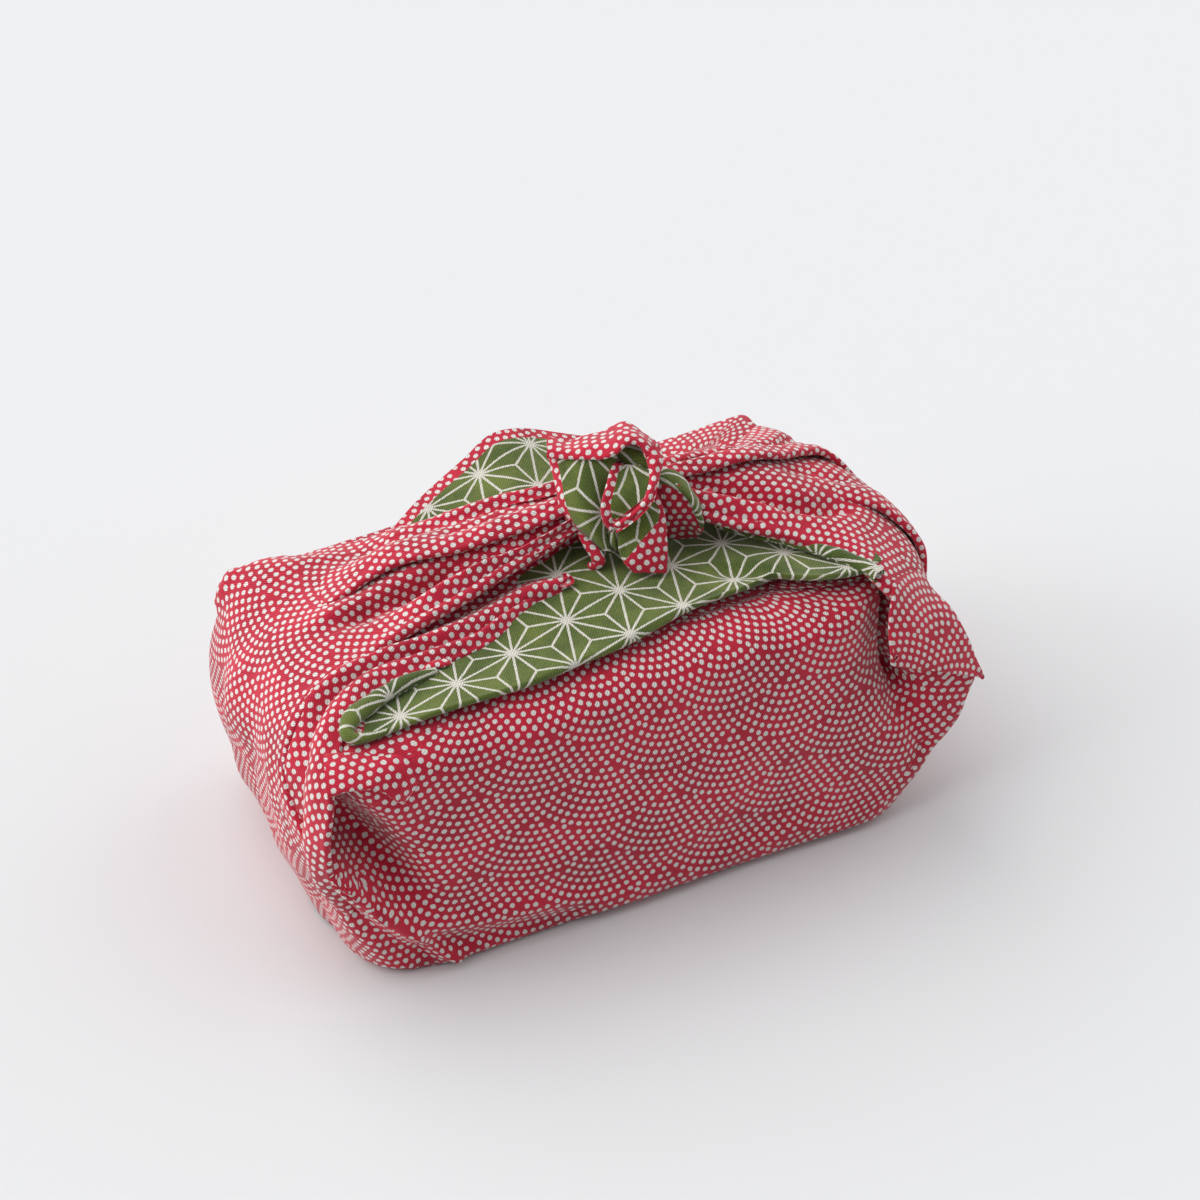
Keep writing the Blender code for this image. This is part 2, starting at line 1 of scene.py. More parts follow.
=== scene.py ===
"""Looks of the furoshiki bundle: a square cotton cloth, red with dots on one side and green with hemp
leaves on the other, wrapped round a box and tied on top with its own corners.

The cloth is made of grids of points, one for each stretch of it that shows, which become one mesh.
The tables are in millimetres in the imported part's frame: X runs along the box, -Y is its front and the
floor is Z = 0. Each point also keeps its place on the flat cloth, which the printed patterns follow.
"""

import math

import bpy
import numpy as np
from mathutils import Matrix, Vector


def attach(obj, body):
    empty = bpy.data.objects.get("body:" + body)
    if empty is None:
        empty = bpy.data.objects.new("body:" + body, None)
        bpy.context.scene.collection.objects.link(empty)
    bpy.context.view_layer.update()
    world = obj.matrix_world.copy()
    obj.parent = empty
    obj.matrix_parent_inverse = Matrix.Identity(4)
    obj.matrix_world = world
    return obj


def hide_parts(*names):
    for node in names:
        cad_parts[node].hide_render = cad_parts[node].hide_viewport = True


MM = 0.001
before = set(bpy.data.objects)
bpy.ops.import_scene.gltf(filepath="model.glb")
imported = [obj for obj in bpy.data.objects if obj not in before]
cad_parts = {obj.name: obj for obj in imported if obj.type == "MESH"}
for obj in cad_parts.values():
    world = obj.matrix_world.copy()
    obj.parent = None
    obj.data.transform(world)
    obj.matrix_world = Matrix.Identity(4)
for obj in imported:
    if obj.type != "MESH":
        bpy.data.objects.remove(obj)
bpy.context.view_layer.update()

# The four upright folds of the wrapped box, a row per height: z, x, y, corner radius.
CORNER_FOLDS = {
    "front_left": (
        (0.0, -92.0, -63.5, 26.0), (3.0, -95.0, -66.0, 27.0), (25.0, -99.0, -65.5, 17.0),
        (50.0, -102.0, -64.0, 6.0), (68.0, -100.0, -63.5, 6.0), (78.0, -96.0, -61.5, 8.0),
        (82.0, -91.0, -57.5, 10.0), (84.0, -87.0, -52.0, 12.0),
    ),
    "front_right": (
        (0.0, 88.0, -63.0, 20.0), (3.0, 91.0, -65.5, 20.0), (15.0, 98.0, -63.5, 9.0),
        (32.0, 109.0, -63.0, 4.0), (46.0, 114.0, -62.5, 3.0), (64.0, 101.5, -60.5, 5.0),
        (78.0, 92.0, -59.5, 8.0), (82.0, 89.0, -56.0, 10.0), (84.0, 86.0, -51.0, 12.0),
    ),
    "back_right": (
        (0.0, 87.0, 47.5, 22.0), (3.0, 90.0, 50.0, 22.0), (25.0, 98.0, 50.5, 14.0),
        (46.0, 104.0, 50.0, 6.0), (66.0, 97.0, 49.0, 4.0), (79.0, 90.0, 48.5, 3.0),
        (84.0, 86.5, 47.5, 3.0),
    ),
    "back_left": (
        (0.0, -91.0, 47.5, 23.0), (3.0, -94.0, 50.0, 23.0), (25.0, -100.0, 49.5, 15.0),
        (50.0, -101.0, 46.0, 8.0), (66.0, -101.0, 42.0, 6.0), (78.0, -95.0, 40.0, 5.0),
        (84.0, -88.0, 40.0, 5.0),
    ),
}
# How far each side of the box bows out (+) or is hollow (-) between its two folds at mid height.
SIDE_BOWS = {"front": 1.5, "right": -5.5, "back": 1.5, "left": 0.5}
TOP_HEIGHT = 84.0
# The top of the box, a row per ring inside its edge: share of the way out from the middle, and height.
TOP_RINGS = ((0.86, 85.3), (0.6, 86.2), (0.3, 86.6))
# The box stands a little higher under its right end: the rise at RISE_HALF_LENGTH, as a share of the
# height, which grows from nothing on the floor to all of it at RISE_START.
RIGHT_END_RISE = 0.028
RISE_HALF_LENGTH = 90.0
RISE_START = 20.0

# Folds of the wrapped sides: points along the fold, how far it stands out and its half width.
SIDE_FOLDS = {
    "front left ear": (
        ((-64, -66, 1), (-75, -66, 14), (-83, -66, 24), (-90, -66, 33), (-97, -65, 43), (-101, -63, 51)),
        2.8, 1.9,
    ),
    "front left ear shade": (((-72, -65, 1), (-86, -65, 17), (-95, -62, 29), (-102, -60, 42)), -4.2, 3.2),
    "front right gap": (
        ((85.5, -58, 84), (84.8, -60, 76), (84.6, -61, 66), (85.6, -61, 56), (88, -62, 49)),
        -14.0, 2.2,
    ),
    "front right valley": (
        ((79, -60, 84), (80, -62, 73), (81, -63, 62), (85, -63, 49), (91, -62, 36), (95, -62, 24)),
        -3.4, 4.5,
    ),
    "front right slope": (((81, -60, 84), (79, -62, 70), (81, -63, 57), (87, -63, 44)), -4.4, 10),
    "front left shelf": (((-76, -66, 20), (-62, -66, 17), (-46, -66, 15), (-28, -66, 13)), 1.0, 3.5),
    "front left shelf shade": (((-74, -66, 12), (-62, -66, 9), (-46, -66, 7), (-28, -66, 5)), -2.4, 4.5),
    "front lower crease": (((-60, -66, 14), (-30, -66, 9), (20, -66, 7), (60, -66, 12)), 0.9, 5),
    "back left valley": (((-82, 50, 64), (-88, 50, 46), (-93, 50, 24)), -3, 5),
    "back right valley": (((80, 50, 66), (87, 50, 46), (94, 50, 24)), -3, 5),
}

# Unevenness of the wrapped sides, a row each: height, size of a bump, seed. It starts at FOOT_HEIGHT.
SIDE_UNEVENNESS = ((0.45, 38, 3), (0.12, 13, 4))
FOOT_HEIGHT = 4.0

# The pocket where the front panel turns in under its own rim, beside the left end. The rim and the floor
# are points x, z from left to right, and the ridge at its right is points x, z from the top down.
POCKET_RIM = ((-104.0, 82.0), (-88.0, 82.0), (-83.0, 80.5), (-79.0, 75.0), (-70.0, 68.0))
POCKET_RIDGE = ((-80.0, 79.0), (-76.0, 70.0), (-69.5, 60.0), (-65.0, 50.0), (-62.5, 42.0), (-60.0, 28.0))
POCKET_FLOOR = ((-103.0, 50.0), (-92.0, 35.0), (-72.0, 14.0))
POCKET_DEPTH = 22.0
POCKET_HOLLOW = 2.7
POCKET_START = -48.0
POCKET_START_LENGTH = 8.0
POCKET_RIM_DROP = 2.5
POCKET_SLOPE_LENGTH = 24.0
POCKET_FLOOR_RISE = 24.0

# Each arm is a sheet whose folds run from the floor, up one end of the box and in to the knot.
# A row is one fold, from the back edge to the front edge of the sheet. First comes its place across the
# sheet, then x, y, z on the floor, low, at the middle and at the shoulder of the end (first line), and at
# the top edge, on the slope, near the knot and in the knot (second line).
LEFT_ARM = (
    (
        0.00,
        (-78, 51, 1), (-86, 51, 25), (-94, 48, 50), (-93, 44, 71),
        (-82, 42, 85.5), (-57, 30, 93), (-28, 20, 101), (6, 11, 107),
    ),
    (
        0.12,
        (-91, 43, 1), (-100, 44, 25), (-103, 42, 50), (-100.5, 39, 70),
        (-89, 37, 89), (-58, 24, 96), (-28, 16, 104), (6, 9, 109),
    ),
    (
        0.36,
        (-94, 20, 1), (-103, 22, 25), (-106, 20, 50), (-104, 17, 70),
        (-89, 16, 87), (-59, 13, 97), (-28, 10, 103), (6, 6, 109),
    ),
    (
        0.58,
        (-95, -6, 1), (-103, -6, 25), (-107, -6, 50), (-105, -6, 70),
        (-92, -6, 88), (-61, -1, 95), (-29, 1, 102), (6, 2, 108),
    ),
    (
        0.80,
        (-94, -36, 1), (-102, -37, 25), (-106, -36, 48), (-105, -26, 70),
        (-93, -21, 88), (-63, -14, 94), (-30, -8, 100), (5, -3, 106),
    ),
    (
        1.00,
        (-67, -65, 1), (-86, -64, 24), (-103, -60, 48), (-105.5, -38, 68),
        (-94.5, -29, 87), (-66, -20.2, 94), (-31, -14, 99.8), (3, -6.5, 105),
    ),
)
RIGHT_ARM = (
    (
        0.00,
        (78, 51, 1), (88, 51, 25), (98, 50, 46), (96, 47, 68),
        (86, 36, 86), (66, 20, 92), (50, 13, 99), (26, 8, 105),
    ),
    (
        0.12,
        (89, 42, 1), (99, 47, 25), (104, 48, 46), (99, 44, 68),
        (91, 27, 87), (70, 17, 95), (52, 12, 102), (27, 6, 108),
    ),
    (
        0.34,
        (91, 18, 1), (98, 20, 25), (103, 20, 46), (103, 16, 68),
        (97, 8, 87), (75, 7, 98), (54, 7, 104), (27, 3, 109),
    ),
    (
        0.55,
        (91, -8, 1), (98, -8, 25), (103, -10, 46), (106, -10, 68),
        (102, -13, 86), (78, -7, 98.5), (56, -2, 105), (28, 0, 109),
    ),
    (
        0.74,
        (90, -36, 1), (100, -40, 25), (109, -43, 46), (107, -37, 67),
        (100, -31, 84), (78, -21, 97), (57, -14, 102), (28, -4, 107),
    ),
    (
        0.88,
        (86, -52, 1), (99, -53, 25), (109.5, -56, 45), (103.5, -52, 66),
        (94, -46, 83), (76.5, -32.5, 94.6), (57, -22.5, 99.6), (28, -7.5, 105),
    ),
    (
        1.00,
        (78, -55, 1), (96, -57, 22), (107, -58, 42), (96, -58.5, 64),
        (82.5, -56.5, 86), (74, -41.5, 92.3), (57.5, -30, 97.2), (29, -10, 102.2),
    ),
)
# Creases of the arms, a row each: height, half width towards the back edge, half width towards the front
# edge, and the path, whose points are shares of the way to the knot and of the way across the sheet.
LEFT_CREASES = (
    (
        -2.8, 4.0, 1.6,
        ((0.72, 0.69), (0.76, 0.71), (0.80, 0.75), (0.86, 0.79), (0.90, 0.87), (0.95, 0.93), (1.0, 0.94)),
    ),
    (-3.6, 1.8, 4.0, ((0.64, 0.62), (0.70, 0.64), (0.76, 0.67), (0.80, 0.665), (0.84, 0.66))),
    (-1.4, 2.4, 4.0, ((0.60, 0.24), (0.72, 0.22), (0.82, 0.26), (0.92, 0.30), (1.0, 0.34))),
    (-1.6, 2.2, 2.4, ((0.80, 0.42), (0.90, 0.46), (1.0, 0.50))),
    (1.8, 4.0, 3.0, ((0.60, 0.55), (0.68, 0.57), (0.75, 0.59), (0.80, 0.62))),
    (-2.0, 5.0, 5.0, ((0.60, 0.02), (0.68, 0.10), (0.78, 0.14))),
    (2.2, 3.0, 3.0, ((0.44, 0.10), (0.50, 0.11), (0.56, 0.10))),
    (-1.2, 5.0, 5.0, ((0.10, 0.30), (0.25, 0.34), (0.40, 0.33), (0.52, 0.30))),
    (1.2, 6.0, 6.0, ((0.08, 0.44), (0.25, 0.46), (0.42, 0.46), (0.55, 0.43))),
    (-1.2, 4.5, 4.5, ((0.08, 0.62), (0.22, 0.60), (0.36, 0.62), (0.48, 0.66))),
    (0.9, 4.5, 4.5, ((0.20, 0.76), (0.34, 0.78), (0.46, 0.80))),
)
RIGHT_CREASES = (
    (
        -4.6, 4.0, 1.6,
        (
            (1.0, 0.74), (0.93, 0.77), (0.86, 0.81), (0.80, 0.835), (0.75, 0.82), (0.70, 0.78),
            (0.65, 0.73),
        ),
    ),
    (-1.6, 3.0, 3.0, ((0.62, 0.60), (0.70, 0.56), (0.78, 0.60))),
    (-2.2, 1.6, 3.0, ((0.52, 0.18), (0.60, 0.16), (0.70, 0.20), (0.80, 0.27), (0.92, 0.34), (1.0, 0.40))),
    (-1.2, 5.0, 5.0, ((0.10, 0.30), (0.30, 0.30), (0.45, 0.34))),
    (1.0, 5.0, 5.0, ((0.08, 0.55), (0.25, 0.56), (0.40, 0.58))),
)
# Pleats of the arms, a row each: how far the showing edge stands out, the path of the edge that is tucked
# into the sheet and the path of the edge that shows, in the same shares.
LEFT_PLEATS = (
    (
        3.4,
        ((0.62, 0.26), (0.80, 0.22), (1.0, 0.34)),
        ((0.62, 0.50), (0.71, 0.49), (0.77, 0.52), (0.82, 0.59), (0.88, 0.66), (0.94, 0.73), (1.0, 0.76)),
    ),
    (
        3.8,
        ((0.70, 0.99), (1.0, 0.995)),
        ((0.70, 0.73), (0.75, 0.72), (0.80, 0.77), (0.86, 0.81), (0.90, 0.89), (0.94, 0.95), (1.0, 0.96)),
    ),
)
RIGHT_PLEATS = (
    (
        3.8,
        ((0.56, 0.24), (0.75, 0.28), (1.0, 0.46)),
        ((0.56, 0.48), (0.64, 0.42), (0.70, 0.45), (0.76, 0.52), (0.82, 0.56), (0.90, 0.60), (1.0, 0.67)),
    ),
    (
        2.8,
        ((0.80, 0.99), (1.0, 0.99)),
        ((0.80, 0.90), (0.83, 0.86), (0.85, 0.82), (0.88, 0.79), (0.91, 0.76), (0.95, 0.75), (1.0, 0.76)),
    ),
    (
        3.2,
        ((0.42, 0.56), (0.60, 0.50), (0.70, 0.54)),
        ((0.42, 0.77), (0.52, 0.74), (0.57, 0.72), (0.61, 0.70), (0.65, 0.69), (0.70, 0.68)),
    ),
)

# Bands of folded cloth that lie over the box, a row for each point of their two edges. The first edge is
# tucked under the cloth behind it, and the second one shows.
BANDS = {
    "second front fold": {
        "first": (
            (-16, -17.5, 90), (-27, -20, 89.8), (-39, -25, 89.2), (-50, -25, 88.8), (-60, -24.5, 88.3),
            (-72, -24, 88), (-79, -26, 87), (-86, -29, 86), (-91, -32, 83.5), (-95.5, -36, 79),
            (-99, -40, 73), (-101.5, -44, 66.5), (-103, -46, 59), (-103.5, -48, 51), (-103, -50, 43),
            (-100.5, -53, 34), (-95, -55, 24),
        ),
        "second": (
            (-16, -20.5, 90.2), (-26, -23.8, 90), (-38, -28.8, 89.6), (-51, -31, 89.2), (-62, -31, 89),
            (-72, -33, 89), (-79, -36.5, 88.3), (-84.5, -39.5, 87), (-88, -42, 85.8),
            (-91.5, -46.5, 83.5), (-94.8, -51, 81.2), (-97.5, -55.5, 78.5), (-99.5, -58.5, 74.5),
            (-101.2, -60.5, 69), (-103, -61.5, 61), (-103, -62.5, 51), (-99.5, -61.5, 43),
            (-94, -60.5, 34),
        ),
        "bulge": 2.6,
        "round": 1.2,
    },
    "first front fold": {
        "first": (
            (-7.4, -17.8, 92), (-9, -16.2, 92.6), (-13, -14.6, 92.8), (-22, -14, 92.4), (-36, -17, 91.5),
            (-54, -20, 91), (-67, -20, 90.3), (-81, -21, 89), (-90, -23, 86), (-96.5, -24, 80),
            (-100.5, -25, 72), (-103, -25, 63), (-104, -26, 52), (-104, -28, 40),
        ),
        "second": (
            (-7.6, -18.8, 91.8), (-9, -20, 91.5), (-12, -21, 91), (-22, -21.4, 90.2), (-36, -25.5, 90),
            (-53, -26.5, 90), (-66, -26.6, 89.8), (-79, -28, 89), (-88, -31.5, 86.8), (-93.5, -36, 83),
            (-98, -41.5, 77.5), (-101.5, -46, 70), (-103.5, -49, 61), (-103, -50, 48),
        ),
        "bulge": 3.4,
        "round": 1.3,
        "turned_end": "first",
    },
    "front rim": {
        "first": (
            (-96, -48, 83), (-92, -50, 83.5), (-86, -52.5, 83.5), (-80, -54.5, 83), (-74, -56, 82),
            (-66, -57, 80), (-62, -53, 77),
        ),
        "second": (
            (-99.5, -60, 80), (-94, -60.5, 80.2), (-90, -61.5, 80), (-86.4, -62.5, 80),
            (-83, -63.6, 77.2), (-78.5, -64, 71.5), (-72, -57.5, 66),
        ),
        "bulge": 1.0,
        "round": 0.9,
    },
    "hollow": {
        "first": (
            (3, -8, 90.6), (-3, -12, 90.8), (-8, -13, 90.8), (-13, -12, 90.8), (-20, -12, 90.8),
            (-28, -15, 90.4), (-38, -18.5, 90), (-52, -21, 89), (-66, -20.5, 88.5), (-80, -21, 88),
        ),
        "second": (
            (5, -2, 98), (-3, -1, 96.5), (-10, -1, 95.5), (-18, -2, 94.5), (-27, -4, 93.8), (-36, -7, 93),
            (-46, -10, 92.3), (-57, -13, 91.5), (-68, -16, 90), (-80, -19, 88.5),
        ),
        "bulge": -1.0,
    },
    "facet": {
        "first": (
            (84, -54, 87), (82, -58.6, 85), (79.5, -62.8, 80), (78.2, -65.8, 73), (77.8, -67.8, 66.3),
        ),
        "second": (
            (99, -45, 79), (101.5, -50, 74.5), (105, -55, 69.5), (108.5, -60, 61.5), (114, -64.2, 46.7),
        ),
        "bulge": 0.6,
        "round": 0.7,
        "turned_end": "last",
    },
}
# The rolled hem of the flap where it shows under the right arm, and its curl at the right end.
GREEN_ROLLS = {
    "under the right arm": (
        (44, -14, 93.5, 0.6, 0.6), (52, -21, 91.4, 0.8, 0.8), (59, -28, 91.8, 1.2, 1.1),
        (65, -34.2, 92, 2.0, 1.7), (70, -40.6, 91.6, 2.3, 1.9), (74.5, -46.5, 91, 2.2, 1.8),
        (77, -50.5, 90.6, 2.4, 2.0), (78.6, -54.5, 90, 2.5, 2.1),
    ),
    "left lip": (
        (-74, -49.6, 86.6, 0.8, 0.8), (-82, -49.8, 86.4, 1.7, 1.6), (-87, -48.6, 86.6, 1.9, 1.9),
        (-87.8, -45.4, 87.6, 2.3, 2.1), (-83.8, -41.8, 88.6, 2.9, 2.3), (-78, -39.2, 89, 3.0, 2.4),
        (-71, -36.8, 89, 2.9, 2.4), (-63, -34.8, 88.4, 2.2, 1.9), (-56, -33.8, 88.3, 1.2, 1.2),
    ),
}
# The small red corner beside the left lip.
LIP_CORNER = (
    (-60, -31.4, 88.2, 0.5, 0.4), (-56, -31.2, 88.8, 1.8, 1.0), (-52.5, -32.0, 88.8, 1.9, 1.0),
    (-50.6, -32.6, 88.3, 0.5, 0.4),
)

# The folded back flap: its front fold and its free hem, a row per point from left to right: x, y, z.
FLAP_FOLD = (
    (-88.5, -48, 86.2), (-84, -49.6, 86.8), (-70, -49.5, 88.1), (-57, -50, 89.1), (-34, -50.8, 89.7),
    (-17.5, -49.1, 90.1), (-2.4, -47.8, 90.6), (19, -42.9, 91.2), (34, -42, 91.5), (44, -42, 91.9),
    (49.5, -41.5, 92.2), (55, -44.6, 92.1), (62.4, -47.8, 91.7), (71.4, -49.4, 90.9), (77, -49.3, 90.7),
    (83, -47, 90.4),
)
FLAP_HEM = (
    (-86, -20, 89), (-66, 8, 90), (-41, 34, 91.5), (-14, 48, 97), (2, 52, 101), (28, 48, 93.5),
    (51, 31, 90.5), (86, -20, 91),
)
FLAP_THICKNESS = 2.4
FLAP_SAG = -1.5
FLAP_PRINT_SHIFT = (3.0, -6.2)
# Where the flap's front fold dips between its two lobes, and how deep and wide the dip is.
FLAP_DIP = ((49.5, -43, 91), (44, -37, 91), (38, -32, 91))
FLAP_DIP_DEPTH = 1.8
FLAP_DIP_WIDTH = 3.0

# The knot has its own frame: a to its right, b up and c out of its face, in millimetres from its middle.
KNOT_MIDDLE = (17.0, 0.0, 106.0)
KNOT_TURN = math.radians(-25.0)
KNOT_LEAN = math.radians(38.0)
KNOT_CORE = (12.0, 13.6, 10.0)
CORE_GATHERS = 7
CORE_GATHER_HEIGHT = 0.5
CORE_POLE = 0.02
# The stretches of cloth that show in the knot. Each lies between two edges, a row per point: a, b, c.
KNOT_PATCHES = {
    "inner fold": {
        "first": ((-2, 11.5, 8), (1, 9.5, 8.5), (4, 7.5, 9), (7, 5, 9), (10, 2.5, 8.5)),
        "second": ((0, 15, 8), (4, 14, 9), (8, 12, 9.5), (11, 9, 9.5), (13, 5, 9)),
        "bulge": 1.0,
        "side": "green",
    },
    "front band": {
        "first": (
            (-20, 11, 5), (-18.9, 6, 7), (-18, 2, 8), (-17, -2, 9), (-15.9, -6, 9), (-13.9, -10, 8.5),
            (-10, -14, 7.5), (-5.5, -18, 6),
        ),
        "second": (
            (0.5, 12, 10), (-0.7, 6, 12), (-1.8, 1, 12), (-2.7, -3, 12), (-3.2, -7.5, 12),
            (-3, -12, 11.5), (-2.2, -15.5, 10.5), (0, -18.3, 8),
        ),
        "bulge": 3.6,
        "side": "green",
        "hem": (0.0, None),
        "hem_scale": 2.1,
    },
    "top fold": {
        "first": (
            (-20.5, 10.4, 8), (-14.6, 10, 11), (-9.5, 10, 13.5), (-3.4, 9.9, 15), (0.2, 11.2, 15.5),
            (3.2, 13.4, 15), (5.9, 13.8, 14.5), (8.2, 12.4, 14.5), (9.6, 9.2, 14.5), (10.4, 5.5, 14),
        ),
        "second": (
            (-20.5, 16.3, 4), (-14.6, 15, 5), (-8.5, 16.8, 5), (-2.3, 18.6, 5), (2.3, 20.1, 5),
            (5.9, 19.1, 5.5), (8.9, 17.1, 6), (12, 14.2, 7), (13.8, 10.7, 8), (14, 6.6, 8),
        ),
        "bulge": 2.2,
        "side": "red",
    },
    "tongue": {
        "first": (
            (0.5, 7.8, 12), (-1, 5, 14), (-1.5, 3, 15.2), (-2.2, 0.5, 16), (-3.1, -2.6, 16.6),
            (-3.5, -6.2, 16.6), (-2.6, -9.8, 16.2), (-0.6, -11.4, 15.6),
        ),
        "second": (
            (5.9, 7.0, 12), (9.5, 4.8, 14), (11, 2.6, 15), (11, 0.4, 16), (10.2, -1.8, 16.5),
            (8, -5, 16.5), (4.6, -8.2, 16.2), (0.7, -11, 15.6),
        ),
        "bulge": -1.2,
        "side": "green",
        "hem": (0.0, None),
        "hem_scale": 2.5,
    },
    "tip hem": {
        "first": (
            (8.6, 11, 14), (9.8, 8, 15), (10.2, 5.5, 16), (9.9, 1.4, 17.2), (8.7, -2.7, 17.8),
            (5.9, -5.9, 17.8), (1.8, -9.1, 17.4), (-0.8, -10, 16.6),
        ),
        "second": (
            (13, 13, 12), (13.8, 9.5, 13.5), (13.4, 5.5, 15), (12.4, 1.4, 16.6), (11.2, -2.7, 17.2),
            (8.2, -6.7, 17.6), (2.9, -10.6, 17.2), (-0.8, -12, 16.4),
        ),
        "bulge": 0.9,
        "side": "red",
    },
    "tail": {
        "first": (
            (3, -6, 12), (2, -10, 13), (1.4, -14, 13), (1.6, -18, 12.5), (3, -21.5, 12), (5.9, -24.7, 11),
        ),
        "second": (
            (11.8, -1, 10), (14, -6, 11), (14.8, -11, 11), (15.1, -16, 10.5), (15.3, -20.5, 10),
            (14.8, -25, 9.5),
        ),
        "bulge": 1.4,
        "side": "green",
        "hem": (None, 0.0),
        "hem_scale": 4.0,
        "corner": ((3.0, -20.8), (12.8, -9.5)),
    },
    "under tail": {
        "first": ((-2.6, -10, 9.5), (-2.6, -13, 10), (-1.8, -16, 9.5), (-0.2, -18.3, 8)),
        "second": ((1.8, -10, 9), (1.6, -13, 10), (1.2, -16, 10), (0.9, -18.2, 8)),
        "bulge": 1.5,
        "side": "green",
    },
    "right loop": {
        "first": (
            (11, 3, 6), (15, 2, 8), (18.5, 0.6, 8), (21.5, -1.3, 7), (24.2, -4.8, 5), (26, -8.5, 2),
            (26.6, -12, -1),
        ),
        "second": (
            (11, -10, -2), (15, -13.6, -4), (17.5, -14.4, -5), (20.2, -14.6, -6), (23, -14.6, -6),
            (25, -14.4, -5), (26, -13.6, -4),
        ),
        "bulge": 1.6,
        "side": "red",
    },
    "right strip": {
        "first": (
            (11, 5.5, 3), (15, 5.9, 5), (18.5, 4.8, 5), (21.5, 2.2, 4.5), (24.2, -1.2, 3), (26, -5, 1),
            (26.8, -8.5, -1),
        ),
        "second": (
            (11, 2.5, 6), (15, 2, 8.2), (18.5, 0.4, 8.2), (21.3, -1.6, 7.4), (23.8, -5, 5.8),
            (25.6, -8.7, 3.6), (26.4, -11, 1.4),
        ),
        "bulge": 0.8,
        "side": "green",
    },
}
# A small turned corner of the front band's hem, a row per point: a, b, c, half width, half height.
HEM_CORNER = (
    (-12, -12, 8.5, 0.4, 0.4), (-9.6, -14.4, 9.5, 1.1, 1.0), (-7.4, -17, 10.2, 1.6, 1.3),
    (-5.6, -19.3, 10.2, 1.9, 1.4), (-5.2, -21.3, 9.4, 1.8, 1.2), (-7, -22.3, 8.2, 1.2, 0.9),
    (-8.2, -21.6, 7.8, 0.4, 0.4),
)

# How finely the cloth is made: rows and columns of each grid.
SIDE_STEPS = {"front": 126, "right": 38, "back": 66, "left": 32}
CORNER_STEPS = 8
SIDE_ROWS = 50
BASE_RINGS = 4
BASE_SHARES = (0.02, 0.97)
BASE_HEIGHT = 0.3
TOP_SHARES = (*np.linspace(0.99, 0.7, 15), 0.5, 0.25, 0.02)
SHOWN_TOP_RINGS = 11
ARM_STEPS = (108, 92)
PLEAT_STEPS = (80, 24)
FLAP_STEPS = (110, 60)
FLAP_FOLD_STEPS = 8
LOWER_LAYER_STRIDE = 4
FRONT_CORNER_STEPS = 12
ROLL_STEPS = (70, 26)
PATCH_STEPS = (40, 14)
BAND_STEPS = (76, 12)
CORE_STEPS = (40, 61)
TURN_STEPS = 6
FINE_STEPS = 6

# The rounded edges, where the cloth turns under: radius of each kind, and how far it goes on below.
FOLD_RADIUS = 1.0
EDGE_ROUND = 0.8
BAND_ROUND = 1.8
ARM_ROUND = 1.9
PLEAT_ROUND = 1.2
TUCK_LENGTH = 6.0
BAND_TUCK = 3.0
PATCH_TUCK = 2.0
TUCK_DROP = 0.4

# The flat places of the cloth are relaxed on coarse grids first, a row each: stride and rounds.
RELAX_LEVELS = ((8, 500), (4, 500), (2, 500), (1, 400))
PATCH_LEVELS = ((4, 200), (1, 150))
RELAX_SHARE = 0.11
SHORTEST = 1e-4

# Uneven heights, each with its size of a bump: on arms, rolls, the flap, bands and patches.
ARM_NOISE = (0.5, 24)
ROLL_NOISE = (0.25, 9)
FLAP_NOISE = (0.35, 26)
BAND_NOISE = (0.25, 12)
PATCH_NOISE = (0.25, 7)
ROLL_SEED, FLAP_SEED, BAND_SEED, PATCH_SEED = 21, 8, 80, 60
LEFT_ARM_SEED, RIGHT_ARM_SEED = 31, 47
NOISE_WAVES = 14
WAVE_SPREAD = (0.7, 1.6)

# How the arms' creases and pleats fade at their ends, and where the arms start to be uneven.
CREASE_POINTS = 40
CREASE_FADE = 10
PLEAT_POINTS = 200
PLEAT_FADE = 0.10
PLEAT_RISE = 0.8
PLEAT_SINK = 0.5
PLEAT_SINK_WIDTH = 0.3
OPEN_END = 0.97
ARM_FOOT = 0.1
# Random fine creases: their number, and the lowest and highest of each measure, in shares and millimetres.
FINE_CREASES = 9
FINE_CREASE_RANGES = {
    "middle": (0.45, 1.0),
    "length": (0.10, 0.30),
    "place": (0.04, 0.96),
    "slant": (-0.12, 0.12),
    "width": (0.014, 0.035),
    "height": (-0.7, 0.4),
}

# Which side of the cloth a face shows: an index into the mesh's materials.
RED_SIDE, GREEN_SIDE = 0, 1
# A place's third number is its distance from the hem, and NO_HEM is far from any.
NO_HEM = 60.0
HEM_WIDTH = 5.0
HEM_STRETCH = 1.1
CLOTH_GAP = 1.0
FRONT_CORNER_TIP = (8.0, 40.0)
FRONT_CORNER_RISE = 0.4
FRONT_CORNER_REACH = 0.97
HEM_RIM_OUT = 0.4


def curve_point(points, place):
    """The point at a fractional index of a row of points, on a smooth curve through them."""
    last = len(points) - 1
    index = min(int(place), last - 1)
    step = place - index
    before = points[index - 1] if index > 0 else 2 * points[0] - points[1]
    after = points[index + 2] if index + 2 <= last else 2 * points[last] - points[last - 1]
    start, end = points[index], points[index + 1]
    return (
        start
        + 0.5 * step * (end - before)
        + step**2 * (before - 2.5 * start + 2 * end - 0.5 * after)
        + step**3 * (1.5 * (start - end) + 0.5 * (after - before))
    )


def catmull(points, count):
    """Points along a smooth curve through the given ones, by equal steps of their index."""
    points = np.asarray(points, float)
    places = np.linspace(0, len(points) - 1, count)
    return np.array([curve_point(points, place) for place in places])


